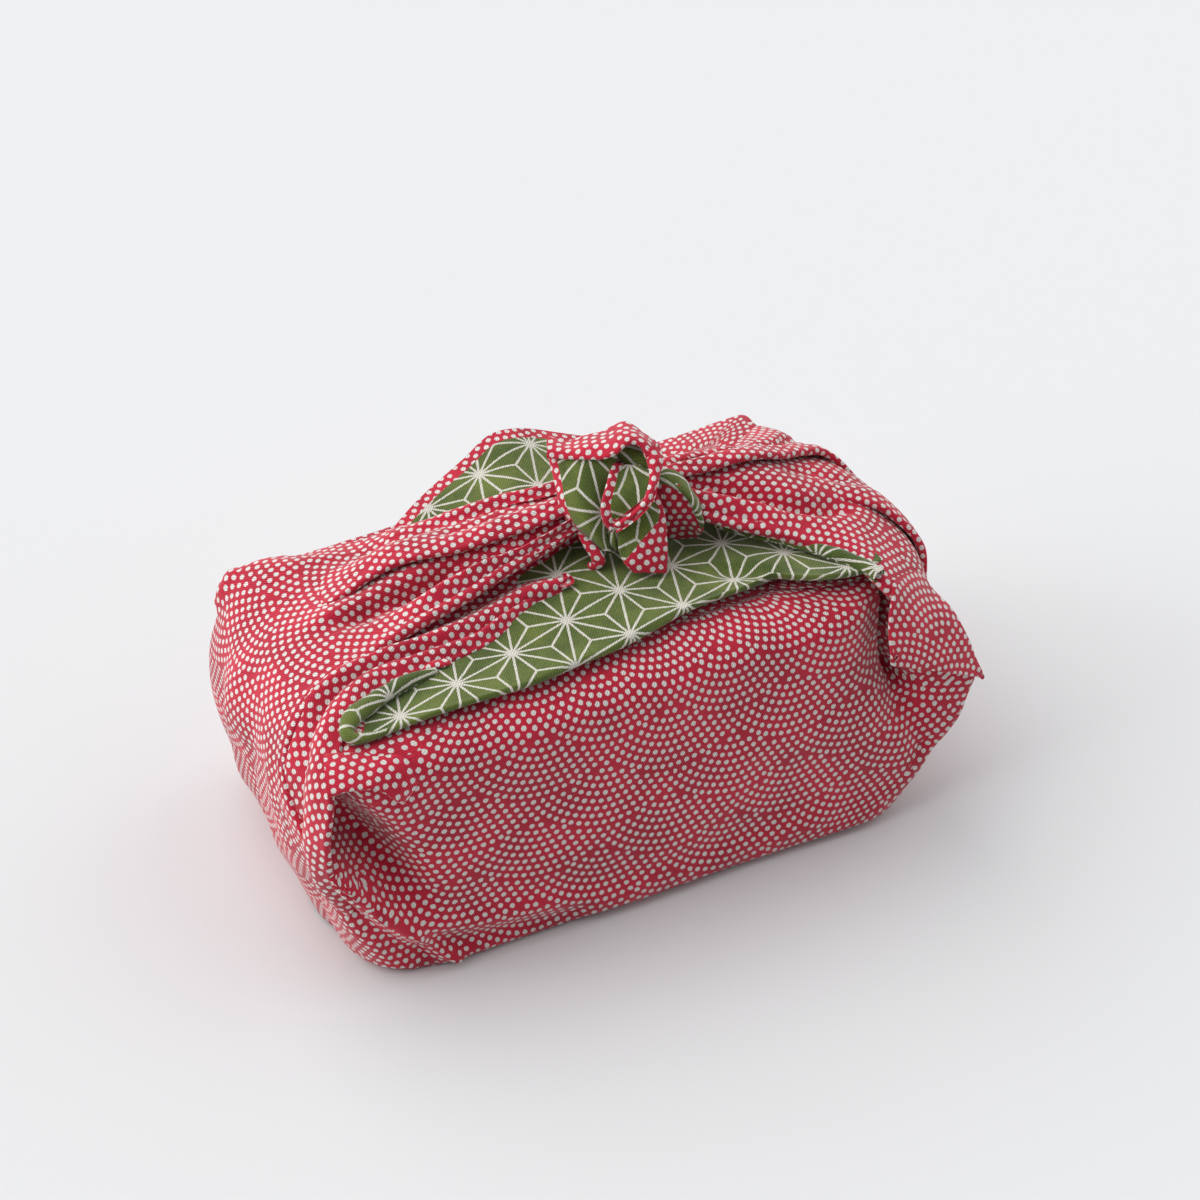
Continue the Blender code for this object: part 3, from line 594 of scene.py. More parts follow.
def even_curve(points, count):
    """Points at equal distances along a smooth curve through the given ones."""
    fine = catmull(points, FINE_STEPS * count)
    along = np.concatenate([[0], np.cumsum(np.linalg.norm(np.diff(fine, axis=0), axis=1))])
    steps = np.linspace(0, along[-1], count)
    return np.stack([np.interp(steps, along, column) for column in fine.T], axis=1)


def smooth_step(value):
    """0 up to 0, 1 from 1 on, and smooth between them."""
    value = np.clip(value, 0.0, 1.0)
    return value * value * (3 - 2 * value)


def distance_to_path(points, path):
    """How far each point lies from a path of straight pieces."""
    path = np.asarray(path, float)
    nearest = np.full(points.shape[:-1], np.inf)
    for start, end in zip(path[:-1], path[1:]):
        along = end - start
        share = np.clip((points - start) @ along / (along @ along), 0.0, 1.0)
        gap = np.linalg.norm(points - start - share[..., None] * along, axis=-1)
        nearest = np.minimum(nearest, gap)
    return nearest


def unit(vectors):
    return vectors / np.maximum(np.linalg.norm(vectors, axis=-1, keepdims=True), 1e-9)


def grid_normals(grid):
    """Unit normals of a grid of points, the cross product of its column and row directions."""
    return unit(np.cross(np.gradient(grid, axis=1), np.gradient(grid, axis=0)))


def soft_noise(points, size, seed):
    """A smooth uneven height between about -1 and 1, with bumps about size millimetres across."""
    chance = np.random.default_rng(seed)
    total = np.zeros(points.shape[:-1])
    for _ in range(NOISE_WAVES):
        way = unit(chance.normal(size=3)) * 2 * math.pi / (size * chance.uniform(*WAVE_SPREAD))
        total += np.sin(points @ way + chance.uniform(0, 2 * math.pi))
    return total / math.sqrt(NOISE_WAVES)


def raise_right_end(points):
    """The box stands a little higher under its right end."""
    points = np.array(points, float)
    along = np.clip(points[..., 0] / RISE_HALF_LENGTH, -1, 1)
    off_floor = np.clip(points[..., 2] / RISE_START, 0, 1)
    points[..., 2] *= 1 + RIGHT_END_RISE * along * off_floor
    return points


def arc_places(grid, middle_column):
    """Each point's place on the flat cloth, from the distances along the grid's rows and columns."""
    across = np.linalg.norm(np.diff(grid, axis=1), axis=-1)
    up = np.linalg.norm(np.diff(grid, axis=0), axis=-1)
    place = np.full(grid.shape, NO_HEM, float)
    place[:, 0, 0] = 0
    place[:, 1:, 0] = np.cumsum(across, axis=1)
    place[..., 0] -= place[:, middle_column : middle_column + 1, 0]
    place[0, :, 1] = 0
    place[1:, :, 1] = np.cumsum(up, axis=0)
    return place


def even_places(place):
    """The same places on an even grid, which has no folded corners to start from."""
    even = place.copy()
    even[..., 0] = place[..., 0].mean(axis=0)
    even[..., 1] = place[..., 1].mean(axis=1, keepdims=True)
    return even


def relaxed_places(grid, place, levels=RELAX_LEVELS):
    """The places on the flat cloth, moved until neighbours lie as far apart on it as in the grid."""
    place = even_places(place)
    whole, low, high = slice(None), slice(None, -1), slice(1, None)
    pairs = (
        ((low, whole), (high, whole)),
        ((whole, low), (whole, high)),
        ((low, low), (high, high)),
        ((low, high), (high, low)),
    )
    for stride, rounds in levels:
        rows, columns = (sorted({*range(0, size, stride), size - 1}) for size in grid.shape[:2])
        kept = np.ix_(rows, columns)
        points, flat = grid[kept], place[kept][..., :2].copy()
        lengths = []
        for first, second in pairs:
            gap = np.linalg.norm(points[second] - points[first], axis=-1)
            lengths.append(np.maximum(gap, SHORTEST))
        for _ in range(rounds):
            move = np.zeros_like(flat)
            for (first, second), length in zip(pairs, lengths):
                gap = flat[second] - flat[first]
                found = np.maximum(np.linalg.norm(gap, axis=-1), SHORTEST)
                pull = gap * ((found - length) / found * RELAX_SHARE)[..., None]
                move[first] += pull
                move[second] -= pull
            flat += move
        moved = flat - place[kept][..., :2]
        for axis, known in enumerate((rows, columns)):
            every = np.arange(grid.shape[axis])
            moved = np.apply_along_axis(lambda line: np.interp(every, known, line), axis, moved)
        place[..., :2] += moved
    return place


class Cloth:
    """Gathers grids of cloth, which become one mesh."""

    def __init__(self):
        self.points, self.places, self.faces, self.finishes = [], [], [], []
        self.count = 0

    def add(self, grid, place, finish, closed=False, flipped=False):
        """Adds a grid. finish is one side of the cloth, or one for each column of faces."""
        rows, columns = grid.shape[:2]
        index = np.arange(rows * columns).reshape(rows, columns) + self.count
        if closed:
            index = np.concatenate([index, index[:, :1]], axis=1)
        corners = [index[:-1, :-1], index[:-1, 1:], index[1:, 1:], index[1:, :-1]]
        if flipped:
            corners = corners[::-1]
        faces = np.stack(corners, axis=-1)
        sides = np.broadcast_to(np.asarray(finish), faces.shape[:2])
        self.points.append(raise_right_end(grid).reshape(-1, 3))
        self.places.append(place.reshape(-1, 3))
        self.faces.append(faces.reshape(-1, 4))
        self.finishes.append(sides.reshape(-1))
        self.count += rows * columns

    def build(self, name, materials):
        points = np.concatenate(self.points) * MM
        faces = np.concatenate(self.faces)
        mesh = bpy.data.meshes.new(name)
        mesh.vertices.add(len(points))
        mesh.vertices.foreach_set("co", points.ravel())
        mesh.loops.add(faces.size)
        mesh.loops.foreach_set("vertex_index", faces.ravel())
        mesh.polygons.add(len(faces))
        mesh.polygons.foreach_set("loop_start", np.arange(0, faces.size, 4))
        mesh.polygons.foreach_set("material_index", np.concatenate(self.finishes))
        place = mesh.attributes.new("cloth_place", "FLOAT_VECTOR", "POINT")
        place.data.foreach_set("vector", np.concatenate(self.places).astype(np.float32).ravel())
        mesh.update()
        mesh.validate()
        mesh.shade_smooth()
        for material in materials:
            mesh.materials.append(material)
        made = bpy.data.objects.new(name, mesh)
        bpy.context.scene.collection.objects.link(made)
        return made


def turned_edge(grid, outward, at_end, radius=FOLD_RADIUS, under=TUCK_LENGTH):
    """The grid with one more stretch at an edge column, folded round and back under the sheet."""
    edge, before = (grid[:, -1], grid[:, -2]) if at_end else (grid[:, 0], grid[:, 1])
    up = outward[:, -1] if at_end else outward[:, 0]
    beyond = unit(edge - before)
    beyond = unit(beyond - up * (beyond * up).sum(-1, keepdims=True))
    columns = []
    for angle in np.linspace(0, math.pi, TURN_STEPS + 1)[1:]:
        columns.append(edge + beyond * radius * math.sin(angle) - up * radius * (1 - math.cos(angle)))
    for share in (0.5, 1.0):
        columns.append(columns[TURN_STEPS - 1] - beyond * under * share - up * TUCK_DROP * share)
    added = np.stack(columns, axis=1)
    if at_end:
        return np.concatenate([grid, added], axis=1)
    return np.concatenate([added[:, ::-1], grid], axis=1)


# --- The wrapped box ---------------------------------------------------------------------------------


def fold_at(name, height):
    """One upright fold's x, y and corner radius at one height."""
    rows = np.array(CORNER_FOLDS[name])
    return [np.interp(height, rows[:, 0], rows[:, column]) for column in (1, 2, 3)]


def section(height):
    """The closed outline of the wrapped box at one height, from the middle of its left end."""
    order = ("front_left", "front_right", "back_right", "back_left")
    sides = ("front", "right", "back", "left")
    folds = [fold_at(name, height) for name in order]
    corners = np.array([fold[:2] for fold in folds])
    bow_share = math.sin(math.pi * min(max(height / TOP_HEIGHT, 0.0), 1.0))
    outline = []
    for index, side in enumerate(sides):
        corner, ahead, behind = corners[index], corners[(index + 1) % 4], corners[index - 1]
        radius, next_radius = folds[index][2], folds[(index + 1) % 4][2]
        forward = (ahead - corner) / np.linalg.norm(ahead - corner)
        backward = (behind - corner) / np.linalg.norm(behind - corner)
        for share in np.linspace(0, 1, CORNER_STEPS + 1)[:-1]:
            outline.append(
                (1 - share) ** 2 * (corner + backward * radius)
                + 2 * share * (1 - share) * corner
                + share**2 * (corner + forward * radius)
            )
        start, end = corner + forward * radius, ahead - forward * next_radius
        outward = np.array([forward[1], -forward[0]])
        for share in np.linspace(0, 1, SIDE_STEPS[side] + 1)[:-1]:
            bow = SIDE_BOWS[side] * bow_share * math.sin(math.pi * share)
            outline.append(start + (end - start) * share + outward * bow)
    return np.roll(np.array(outline), SIDE_STEPS["left"] // 2, axis=0)


def pocket_depth(x, z):
    """How far the front panel is pressed in at one place of the pocket."""
    rim_z = np.interp(x, *zip(*POCKET_RIM))
    ridge_x = np.interp(-z, *zip(*((-height, place) for place, height in POCKET_RIDGE)))
    floor_z = np.interp(x, *zip(*POCKET_FLOOR))
    under_rim = smooth_step((rim_z - z) / POCKET_RIM_DROP)
    beside_ridge = smooth_step((ridge_x - x) / POCKET_SLOPE_LENGTH)
    above_floor = smooth_step((z - floor_z) / POCKET_FLOOR_RISE)
    return POCKET_DEPTH * under_rim * beside_ridge**POCKET_HOLLOW * above_floor


def wrapped_sides():
    """The grid of the wrapped box's upright sides, a row per height, with its folds pressed in."""
    heights = np.linspace(0, TOP_HEIGHT, SIDE_ROWS)
    grid = np.array([[(x, y, height) for x, y in section(height)] for height in heights])
    closed = np.concatenate([grid[:, -1:], grid, grid[:, :1]], axis=1)
    outward = grid_normals(closed)[:, 1:-1]
    outward[..., 2] = 0
    outward = unit(outward)
    move = np.zeros(grid.shape[:2])
    for path, height, width in SIDE_FOLDS.values():
        move += height * np.exp(-((distance_to_path(grid, path) / width) ** 2))
    for height, size, seed in SIDE_UNEVENNESS:
        move += height * soft_noise(grid, size, seed)
    move *= smooth_step(heights / FOOT_HEIGHT)[:, None]
    near_front = smooth_step((POCKET_START - grid[..., 1]) / POCKET_START_LENGTH)
    back = pocket_depth(grid[..., 0], grid[..., 2]) * near_front
    return grid + outward * move[..., None] + back[..., None] * (0, 1, 0)


def add_wrapped_box(cloth):
    """The wrapped box: rings under it, its upright sides and rings over its top, as one closed grid."""
    sides = wrapped_sides()
    top, bottom = sides[-1], sides[0]
    middle = top.mean(axis=0)
    shares, heights = zip((1.0, TOP_HEIGHT), *TOP_RINGS, (0.0, TOP_RINGS[-1][1]))
    rings = []
    for share in np.linspace(*BASE_SHARES, BASE_RINGS):
        rings.append(bottom * (share, share, 0) + (0, 0, BASE_HEIGHT))
    rings += list(sides)
    for share in TOP_SHARES:
        ring = middle + (top - middle) * share
        ring[:, 2] = np.interp(share, shares[::-1], heights[::-1])
        rings.append(ring)
    grid = np.array(rings)
    start = SIDE_STEPS["front"] // 2 + CORNER_STEPS + SIDE_STEPS["left"] // 2
    wrapped = np.concatenate([grid, grid[:, :1]], axis=1)
    place = arc_places(wrapped, start)
    place[..., 1] -= place[BASE_RINGS, :, 1]
    shown = slice(BASE_RINGS, BASE_RINGS + SIDE_ROWS + SHOWN_TOP_RINGS)
    place[shown] = relaxed_places(wrapped[shown], place[shown])
    cloth.add(wrapped, place, RED_SIDE)


# --- The two arms ------------------------------------------------------------------------------------


def arm_surface(folds, creases, rows, columns, outward_sign, seed):
    """The gathered sheet of one arm and its outward normals: rows climb to the knot, columns go across."""
    shares = np.array([fold[0] for fold in folds])
    lines = np.array([catmull(fold[1:], rows) for fold in folds])
    places = np.linspace(0, 1, columns)
    index_places = np.interp(places, shares, np.arange(len(folds)))
    rows_of_folds = lines.swapaxes(0, 1)
    grid = np.array([[curve_point(row, place) for place in index_places] for row in rows_of_folds])
    outward = grid_normals(grid) * outward_sign
    climb = np.linspace(0, 1, rows)[:, None]
    move = fine_creases(climb, places[None], seed)
    height, size = ARM_NOISE
    move += height * soft_noise(grid, size, seed + 1) * smooth_step(climb / ARM_FOOT)
    for crease in creases:
        move += crease_height(grid, crease)
    return grid + outward * move[..., None], outward


def crease_height(grid, crease):
    """How far a crease moves each point of an arm out. It starts softly and goes on to its end."""
    height, back_width, front_width, path = crease
    rows, columns = grid.shape[:2]
    line = catmull(path, CREASE_POINTS)
    row = np.clip(line[:, 0] * (rows - 1), 0, rows - 1).astype(int)
    column = np.clip(line[:, 1] * (columns - 1), 0, columns - 1).astype(int)
    gaps = np.linalg.norm(grid[:, :, None] - grid[row, column], axis=-1)
    nearest = gaps.argmin(axis=-1)
    gap = gaps.min(axis=-1)
    width = np.where(np.arange(columns) < column[nearest], back_width, front_width)
    fade = smooth_step((nearest + 1) / CREASE_FADE)
    if line[-1, 0] < OPEN_END:
        fade = fade * smooth_step((CREASE_POINTS - nearest) / CREASE_FADE)
    return height * fade * np.exp(-((gap / width) ** 2))


def fine_creases(climb, places, seed):
    """Short soft creases that run towards the knot, more and deeper near it."""
    chance = np.random.default_rng(seed)
    move = np.zeros(np.broadcast_shapes(climb.shape, places.shape))
    for _ in range(FINE_CREASES):
        measures = [chance.uniform(*ends) for ends in FINE_CREASE_RANGES.values()]
        middle, length, place, slant, width, height = measures
        line = place + slant * (climb - middle)
        across, along = (places - line) / width, (climb - middle) / length
        move += height * np.exp(-(across**2) - along**2)
    return move


def sampled(field, row, column):
    """The values of a grid at fractional rows and columns."""
    low_row = np.clip(row.astype(int), 0, field.shape[0] - 2)
    low_column = np.clip(column.astype(int), 0, field.shape[1] - 2)
    down, along = (row - low_row)[..., None], (column - low_column)[..., None]
    near = field[low_row, low_column] * (1 - along) + field[low_row, low_column + 1] * along
    far = field[low_row + 1, low_column] * (1 - along) + field[low_row + 1, low_column + 1] * along
    return near * (1 - down) + far * down


def add_pleat(cloth, grid, outward, pleat, flipped):
    """A fold over an arm's sheet, tucked into it along one edge and standing out at the other."""
    height, tucked, showing = pleat
    rows, columns = PLEAT_STEPS
    start, end = showing[0][0], showing[-1][0]
    climb = np.linspace(start, end, rows)
    line = catmull(showing, PLEAT_POINTS)
    edges = np.interp(climb, *zip(*tucked)), np.interp(climb, line[:, 0], line[:, 1])
    shares = np.linspace(0, 1, columns)
    across = edges[0][:, None] + (edges[1] - edges[0])[:, None] * shares
    row = np.broadcast_to(climb[:, None], across.shape) * (grid.shape[0] - 1)
    column = across * (grid.shape[1] - 1)
    fade = smooth_step((climb - start) / PLEAT_FADE)
    if end < OPEN_END:
        fade = fade * smooth_step((end - climb) / PLEAT_FADE)
    fade = fade[:, None]
    move = height * fade * smooth_step(shares / PLEAT_RISE)
    move -= PLEAT_SINK * (1 - fade * smooth_step(shares / PLEAT_SINK_WIDTH))
    normals = sampled(outward, row, column)
    points = sampled(grid, row, column) + normals * move[..., None]
    extra = turned_edge(points, normals, True, PLEAT_ROUND, BAND_TUCK)
    place = relaxed_places(extra, arc_places(extra, columns // 2), PATCH_LEVELS)
    cloth.add(extra, place, RED_SIDE, flipped=flipped)


def add_arm(cloth, folds, creases, pleats, outward_sign, seed):
    """One arm: its gathered sheet with rounded edges, and the pleats on it."""
    rows, columns = ARM_STEPS
    grid, outward = arm_surface(folds, creases, rows, columns, outward_sign, seed)
    extra = turned_edge(grid, outward, True, ARM_ROUND)
    extra = turned_edge(extra, outward, False, ARM_ROUND)
    place = relaxed_places(extra, arc_places(extra, extra.shape[1] // 2))
    cloth.add(extra, place, RED_SIDE, flipped=outward_sign < 0)
    for pleat in pleats:
        add_pleat(cloth, grid, outward, pleat, outward_sign < 0)


# --- Rolls, the flap and the knot --------------------------------------------------------------------


def add_roll(cloth, rows, side, finish):
    """A flattened roll of cloth along a row of points, pointed where its half widths are small."""
    count, sides = ROLL_STEPS
    line = catmull(rows, count)
    points, widths, heights = line[:, :3], line[:, 3], line[:, 4]
    tangent = unit(np.gradient(points, axis=0))
    across = unit(np.cross(tangent, np.asarray(side, float)))
    out = np.cross(across, tangent)
    angles = np.linspace(0, 2 * math.pi, sides)
    grid = (
        points[:, None]
        + across[:, None] * (widths[:, None] * np.cos(angles))[..., None]
        + out[:, None] * (heights[:, None] * np.sin(angles))[..., None]
    )
    height, size = ROLL_NOISE
    grid = grid + grid_normals(grid) * (height * soft_noise(grid, size, ROLL_SEED))[..., None]
    place = relaxed_places(grid, arc_places(grid, sides // 2), PATCH_LEVELS)
    cloth.add(grid, place, finish)


def add_flap(cloth):
    """The folded back flap: a lower layer, the rounded front fold and the upper layer up to its hem."""
    columns, rows = FLAP_STEPS
    front = even_curve(FLAP_FOLD, columns)
    hem = even_curve(FLAP_HEM, columns)
    shares = np.linspace(0, 1, rows)[:, None, None]
    upper = front + (hem - front) * shares
    height, size = FLAP_NOISE
    upper[..., 2] += FLAP_SAG * np.sin(math.pi * shares[..., 0])
    upper[..., 2] += height * soft_noise(upper, size, FLAP_SEED)
    from_dip = distance_to_path(upper, FLAP_DIP) / FLAP_DIP_WIDTH
    upper[..., 2] -= FLAP_DIP_DEPTH * np.exp(-(from_dip**2))
    radius = FLAP_THICKNESS / 2
    forward = unit(front - upper[1])
    fold = []
    for angle in np.linspace(-math.pi / 2, math.pi / 2, FLAP_FOLD_STEPS + 1)[:-1]:
        rise = (0, 0, radius * (math.sin(angle) - 1))
        fold.append(front + forward * radius * math.cos(angle) + rise)
    lower = upper[1::LOWER_LAYER_STRIDE][::-1] - (0, 0, FLAP_THICKNESS)
    grid = np.concatenate([lower, np.array(fold), upper])
    place = grid.copy()
    place[0, :, 1] = 0
    place[1:, :, 1] = np.cumsum(np.linalg.norm(np.diff(grid, axis=0), axis=-1), axis=0)
    place[..., 1] += front[None, :, 1] - place[len(lower) + len(fold), :, 1]
    place[..., 2] = NO_HEM
    place[-rows:, :, 2] = np.linalg.norm(hem - upper, axis=-1) * HEM_STRETCH
    place[..., :2] += FLAP_PRINT_SHIFT
    cloth.add(grid, place, GREEN_SIDE)
    under = (upper - (0, 0, CLOTH_GAP))[rows // 2 :]
    cloth.add(under, arc_places(under, columns // 2), RED_SIDE, flipped=True)
    rim = np.stack([upper[-1], hem + (0, HEM_RIM_OUT, -CLOTH_GAP / 2), under[-1]])
    cloth.add(rim, arc_places(rim, columns // 2), RED_SIDE)


def add_front_corner(cloth):
    """The cloth's front corner, which lies on the box under the folded back flap."""
    shares = np.linspace(0, FRONT_CORNER_REACH, FRONT_CORNER_STEPS)[:, None, None]
    start = np.array(FLAP_FOLD, float)[:, :2]
    grid = np.concatenate([start, np.full((len(start), 1), TOP_RINGS[-1][1])], axis=1)
    tip = np.array([*FRONT_CORNER_TIP, TOP_RINGS[-1][1] + FRONT_CORNER_RISE])
    grid = grid[None] + (tip - grid[None]) * shares
    cloth.add(grid, arc_places(grid, len(start) // 2), RED_SIDE)


def facing_out(grid):
    """Unit normals of a grid, turned to face away from the middle of the box."""
    normals = grid_normals(grid)
    return normals * np.sign((normals * (grid - (0, 0, TOP_HEIGHT / 2))).sum(-1).mean())


def add_band(cloth, band, seed):
    """A stretch of cloth between two edges that bulges away from the box, with its edges rounded under."""
    rows, columns = BAND_STEPS
    shares = np.linspace(0, 1, columns)
    first, second = catmull(band["first"], rows), catmull(band["second"], rows)
    points = first[:, None] + (second - first)[:, None] * shares[:, None]
    outward = facing_out(points)
    height, size = BAND_NOISE
    move = band["bulge"] * np.sin(math.pi * shares) + height * soft_noise(points, size, seed)
    points = points + outward * move[..., None]
    radius = band.get("round", BAND_ROUND)
    for at_end in (True, False):
        points = turned_edge(points, outward, at_end, radius, BAND_TUCK)
    if "turned_end" in band:
        turned, outward = points.swapaxes(0, 1), facing_out(points).swapaxes(0, 1)
        turned = turned_edge(turned, outward, band["turned_end"] == "last", radius, BAND_TUCK)
        points = turned.swapaxes(0, 1)
    place = relaxed_places(points, arc_places(points, points.shape[1] // 2), PATCH_LEVELS)
    cloth.add(points, place, RED_SIDE)


def knot_axes():
    """The knot's own directions a, b and c, as rows."""
    right = np.array([math.cos(KNOT_TURN), math.sin(KNOT_TURN), 0.0])
    forward = np.array([math.sin(KNOT_TURN), -math.cos(KNOT_TURN), 0.0])
    out = forward * math.cos(KNOT_LEAN) + (0, 0, math.sin(KNOT_LEAN))
    return np.array([right, np.cross(out, right), out])


def add_knot_core(cloth):
    """The gathered middle of the knot, which the strips wrap round."""
    rows, columns = CORE_STEPS
    turns = np.linspace(0, 2 * math.pi, columns)
    levels = np.linspace(CORE_POLE, math.pi - CORE_POLE, rows)
    turn, level = np.meshgrid(turns, levels)
    local = np.stack([np.sin(level) * np.cos(turn), np.cos(level), np.sin(level) * np.sin(turn)], axis=-1)
    local *= KNOT_CORE
    gathers = CORE_GATHER_HEIGHT * np.sin(CORE_GATHERS * turn)
    grid = knot_points(local) + unit(local @ knot_axes()) * gathers[..., None]
    cloth.add(grid, arc_places(grid, columns // 2), RED_SIDE)


def knot_points(local):
    """Points given by a, b and c in the knot's own frame, as points of the part."""
    return np.array(KNOT_MIDDLE) + np.asarray(local, float)[..., :3] @ knot_axes()


def hem_distance(patch, local, width, shares):
    """How far each point of a patch lies from the hem, where the patch has one."""
    distance = np.full(local.shape[:2], NO_HEM)
    scale = patch.get("hem_scale", 1.0)
    from_first, from_second = patch.get("hem", (None, None))
    if from_first is not None:
        distance = np.minimum(distance, (from_first + width * shares) * scale)
    if from_second is not None:
        distance = np.minimum(distance, (from_second + width * (1 - shares)) * scale)
    if "corner" in patch:
        start, end = np.array(patch["corner"])
        along = unit(end - start)
        above = (local[..., :2] - start) @ np.array([-along[1], along[0]])
        distance = np.minimum(distance, HEM_WIDTH + above)
    return distance


def add_patch(cloth, patch, seed):
    """A stretch of cloth between two edges, bulging between them, with both edges rounded under."""
    rows, columns = PATCH_STEPS
    shares = np.linspace(0, 1, columns)
    first, second = catmull(patch["first"], rows), catmull(patch["second"], rows)
    local = first[:, None] + (second - first)[:, None] * shares[:, None]
    local[..., 2] += patch["bulge"] * np.sin(math.pi * shares)
    points = knot_points(local)
    outward = grid_normals(points)
    outward *= np.sign((outward @ knot_axes()[2]).mean())
    height, size = PATCH_NOISE
    points = points + outward * (height * soft_noise(points, size, seed))[..., None]
    width = np.linalg.norm(np.diff(points, axis=1), axis=-1).sum(axis=1)[:, None]
    hem = hem_distance(patch, local, width, shares)
    for at_end in (True, False):
        points = turned_edge(points, outward, at_end, EDGE_ROUND, PATCH_TUCK)
    added = (points.shape[1] - columns) // 2
    place = relaxed_places(points, arc_places(points, added + columns // 2), PATCH_LEVELS)
    place[..., 2] = np.pad(hem, ((0, 0), (added, added)), mode="edge")
    cloth.add(points, place, RED_SIDE if patch["side"] == "red" else GREEN_SIDE)


# --- Materials ---------------------------------------------------------------------------------------

# The dots lie on rings round the middle of a fan, and the fans overlap like scales. The columns of fans
# stand FAN_COLUMN apart, each fan covers FAN_COVER round its middle, and the next one in its column lies
# FAN_REPEAT higher. Every other ring starts half a dot on.
FAN_COLUMN = 21.8
FAN_REPEAT = 30.5
FAN_COVER = 29.4
FAN_TURN = math.radians(-6)
FIRST_RING = 1.78
RING_STEP = 2.68
RING_STAGGER = 0.5
DOT_STEP = 2.75
DOT_RADIUS = 0.82
DOT_BLUR = 0.12
# A dot shows when its middle is BORDER_GAP clear of the fans over its own. Two fans side by side meet
# SIDE_BIAS to the right of halfway, so that no dot is cut there.
BORDER_GAP = 0.7
SIDE_BIAS = 0.9
NEARER_RANK = -0.02
NOT_COVERED = -1e5
# The hemp leaves: the distance between two stars, half a line's width, its soft edges and its strength.
STAR_STEP = 20.0
STAR_TURN = math.radians(14)
LINE_HALF_WIDTH = 0.35
LINE_BLUR = (0.12, -0.08)
LINE_STRENGTH = 0.94

RED = (0.62, 0.014, 0.045)
RED_DEEP = (0.44, 0.007, 0.030)
DOT_COLOUR = (0.74, 0.70, 0.66)
GREEN = (0.050, 0.082, 0.010)
GREEN_LIGHT = (0.150, 0.190, 0.034)
LINE_COLOUR = (0.70, 0.66, 0.58)

# Noises of the cloth, in its flat places: scale and detail.
PRINT_FUZZ = (1.4, 2.0)
DYE_PATCHES = (0.06, 3.0)
DYE_THREADS = (2.6, 3.0)
WEAVE = (3.2, 2.0)
# How far the print strays, and which values of the noises run from the deep colour to the light one.
FUZZ_REACH = 0.5
DYE_RANGE = (0.35, 0.65)
# The rib: its pitch in millimetres, its turn on the cloth and how far it strays.
RIB_PITCH = 0.72
RIB_TURN = math.radians(52)
RIB_STRAY = 0.22
RIB_POWER = 0.5
# Painted shade darkens the colour in the rib's troughs, and it is shallower where the dye is worn: its
# depth and floor on fresh and on worn cloth.
WORN_RANGE = (0.35, 0.6)
RIB_DEPTH = (0.52, 0.32)
RIB_FLOOR = (0.54, 0.72)
WEAVE_HEIGHT = 0.5
BUMP_STRENGTH = 0.55
BUMP_DISTANCE = 0.00016
COTTON = {
    "Roughness": 0.88,
    "Specular IOR Level": 0.25,
    "Sheen Weight": 0.25,
    "Sheen Roughness": 0.5,
}


class Number:
    """A number in a shader, from a node's socket. Sums are written as in Python, and add their nodes."""

    def __init__(self, tree, socket):
        self.tree, self.socket = tree, socket

    def math(self, operation, *others):
        return calculate(self.tree, operation, self, *others)

    def __add__(self, other):
        return self.math("ADD", other)

    def __sub__(self, other):
        return self.math("SUBTRACT", other)

    def __rsub__(self, other):
        return calculate(self.tree, "SUBTRACT", other, self)

    def __mul__(self, other):
        return self.math("MULTIPLY", other)

    __rmul__ = __mul__

    def __truediv__(self, other):
        return self.math("DIVIDE", other)

    def __rtruediv__(self, other):
        return calculate(self.tree, "DIVIDE", other, self)

    def __abs__(self):
        return self.math("ABSOLUTE")

    def round(self):
        return self.math("ROUND")

    def is_odd(self):
        """1 for an odd whole number and 0 for an even one."""
        return self.math("FLOORED_MODULO", 2.0)


def feed(tree, socket, value):
    """Links a value into a socket, or sets the socket to a plain one. A colour is three numbers."""
    if isinstance(value, Number):
        tree.links.new(value.socket, socket)
    elif isinstance(value, bpy.types.NodeSocket):
        tree.links.new(value, socket)
    else:
        socket.default_value = (*value, 1) if isinstance(value, tuple) else value


def add_node(tree, kind, inputs=None, **settings):
    made = tree.nodes.new(kind)
    for name, value in settings.items():
        setattr(made, name, value)
    for name, value in (inputs or {}).items():
        feed(tree, made.inputs[name], value)
    return made


def calculate(tree, operation, *values):
    made = add_node(tree, "ShaderNodeMath", operation=operation)
    for socket, value in zip(made.inputs, values):
        feed(tree, socket, value)
    return Number(tree, made.outputs[0])


def split(tree, vector):
    """The three numbers of a vector or a colour."""
    parts = add_node(tree, "ShaderNodeSeparateXYZ", {"Vector": vector}).outputs
    return [Number(tree, part) for part in parts]


def noise(tree, place, scale_and_detail):
    scale, detail = scale_and_detail
    inputs = {"Vector": place, "Scale": scale, "Detail": detail}
    return add_node(tree, "ShaderNodeTexNoise", inputs).outputs


def length(x, y):
    return (x * x + y * y).math("SQRT")


def off_whole(value):
    """How far a value lies from the nearest whole number."""
    return abs(value - value.round())


def mix(share, first, second):
    """first where share is 0 and second where it is 1."""
    return share * (second - first) + first


def ramp(value, low, high):
    """0 below low, 1 above high, and smooth between them; low may be above high."""
    inputs = {"Value": value, "From Min": low, "From Max": high}
    made = add_node(value.tree, "ShaderNodeMapRange", inputs, interpolation_type="SMOOTHSTEP")
    return Number(value.tree, made.outputs[0])


def mixed_colour(share, first, second):
    inputs = {"Factor": share, "A": first, "B": second}
    return add_node(share.tree, "ShaderNodeMix", inputs, data_type="RGBA").outputs["Result"]


def turned(x, y, angle):
    """x and y along axes that are turned by an angle."""
    cosine, sine = math.cos(angle), math.sin(angle)
    return x * cosine + y * sine, y * cosine - x * sine


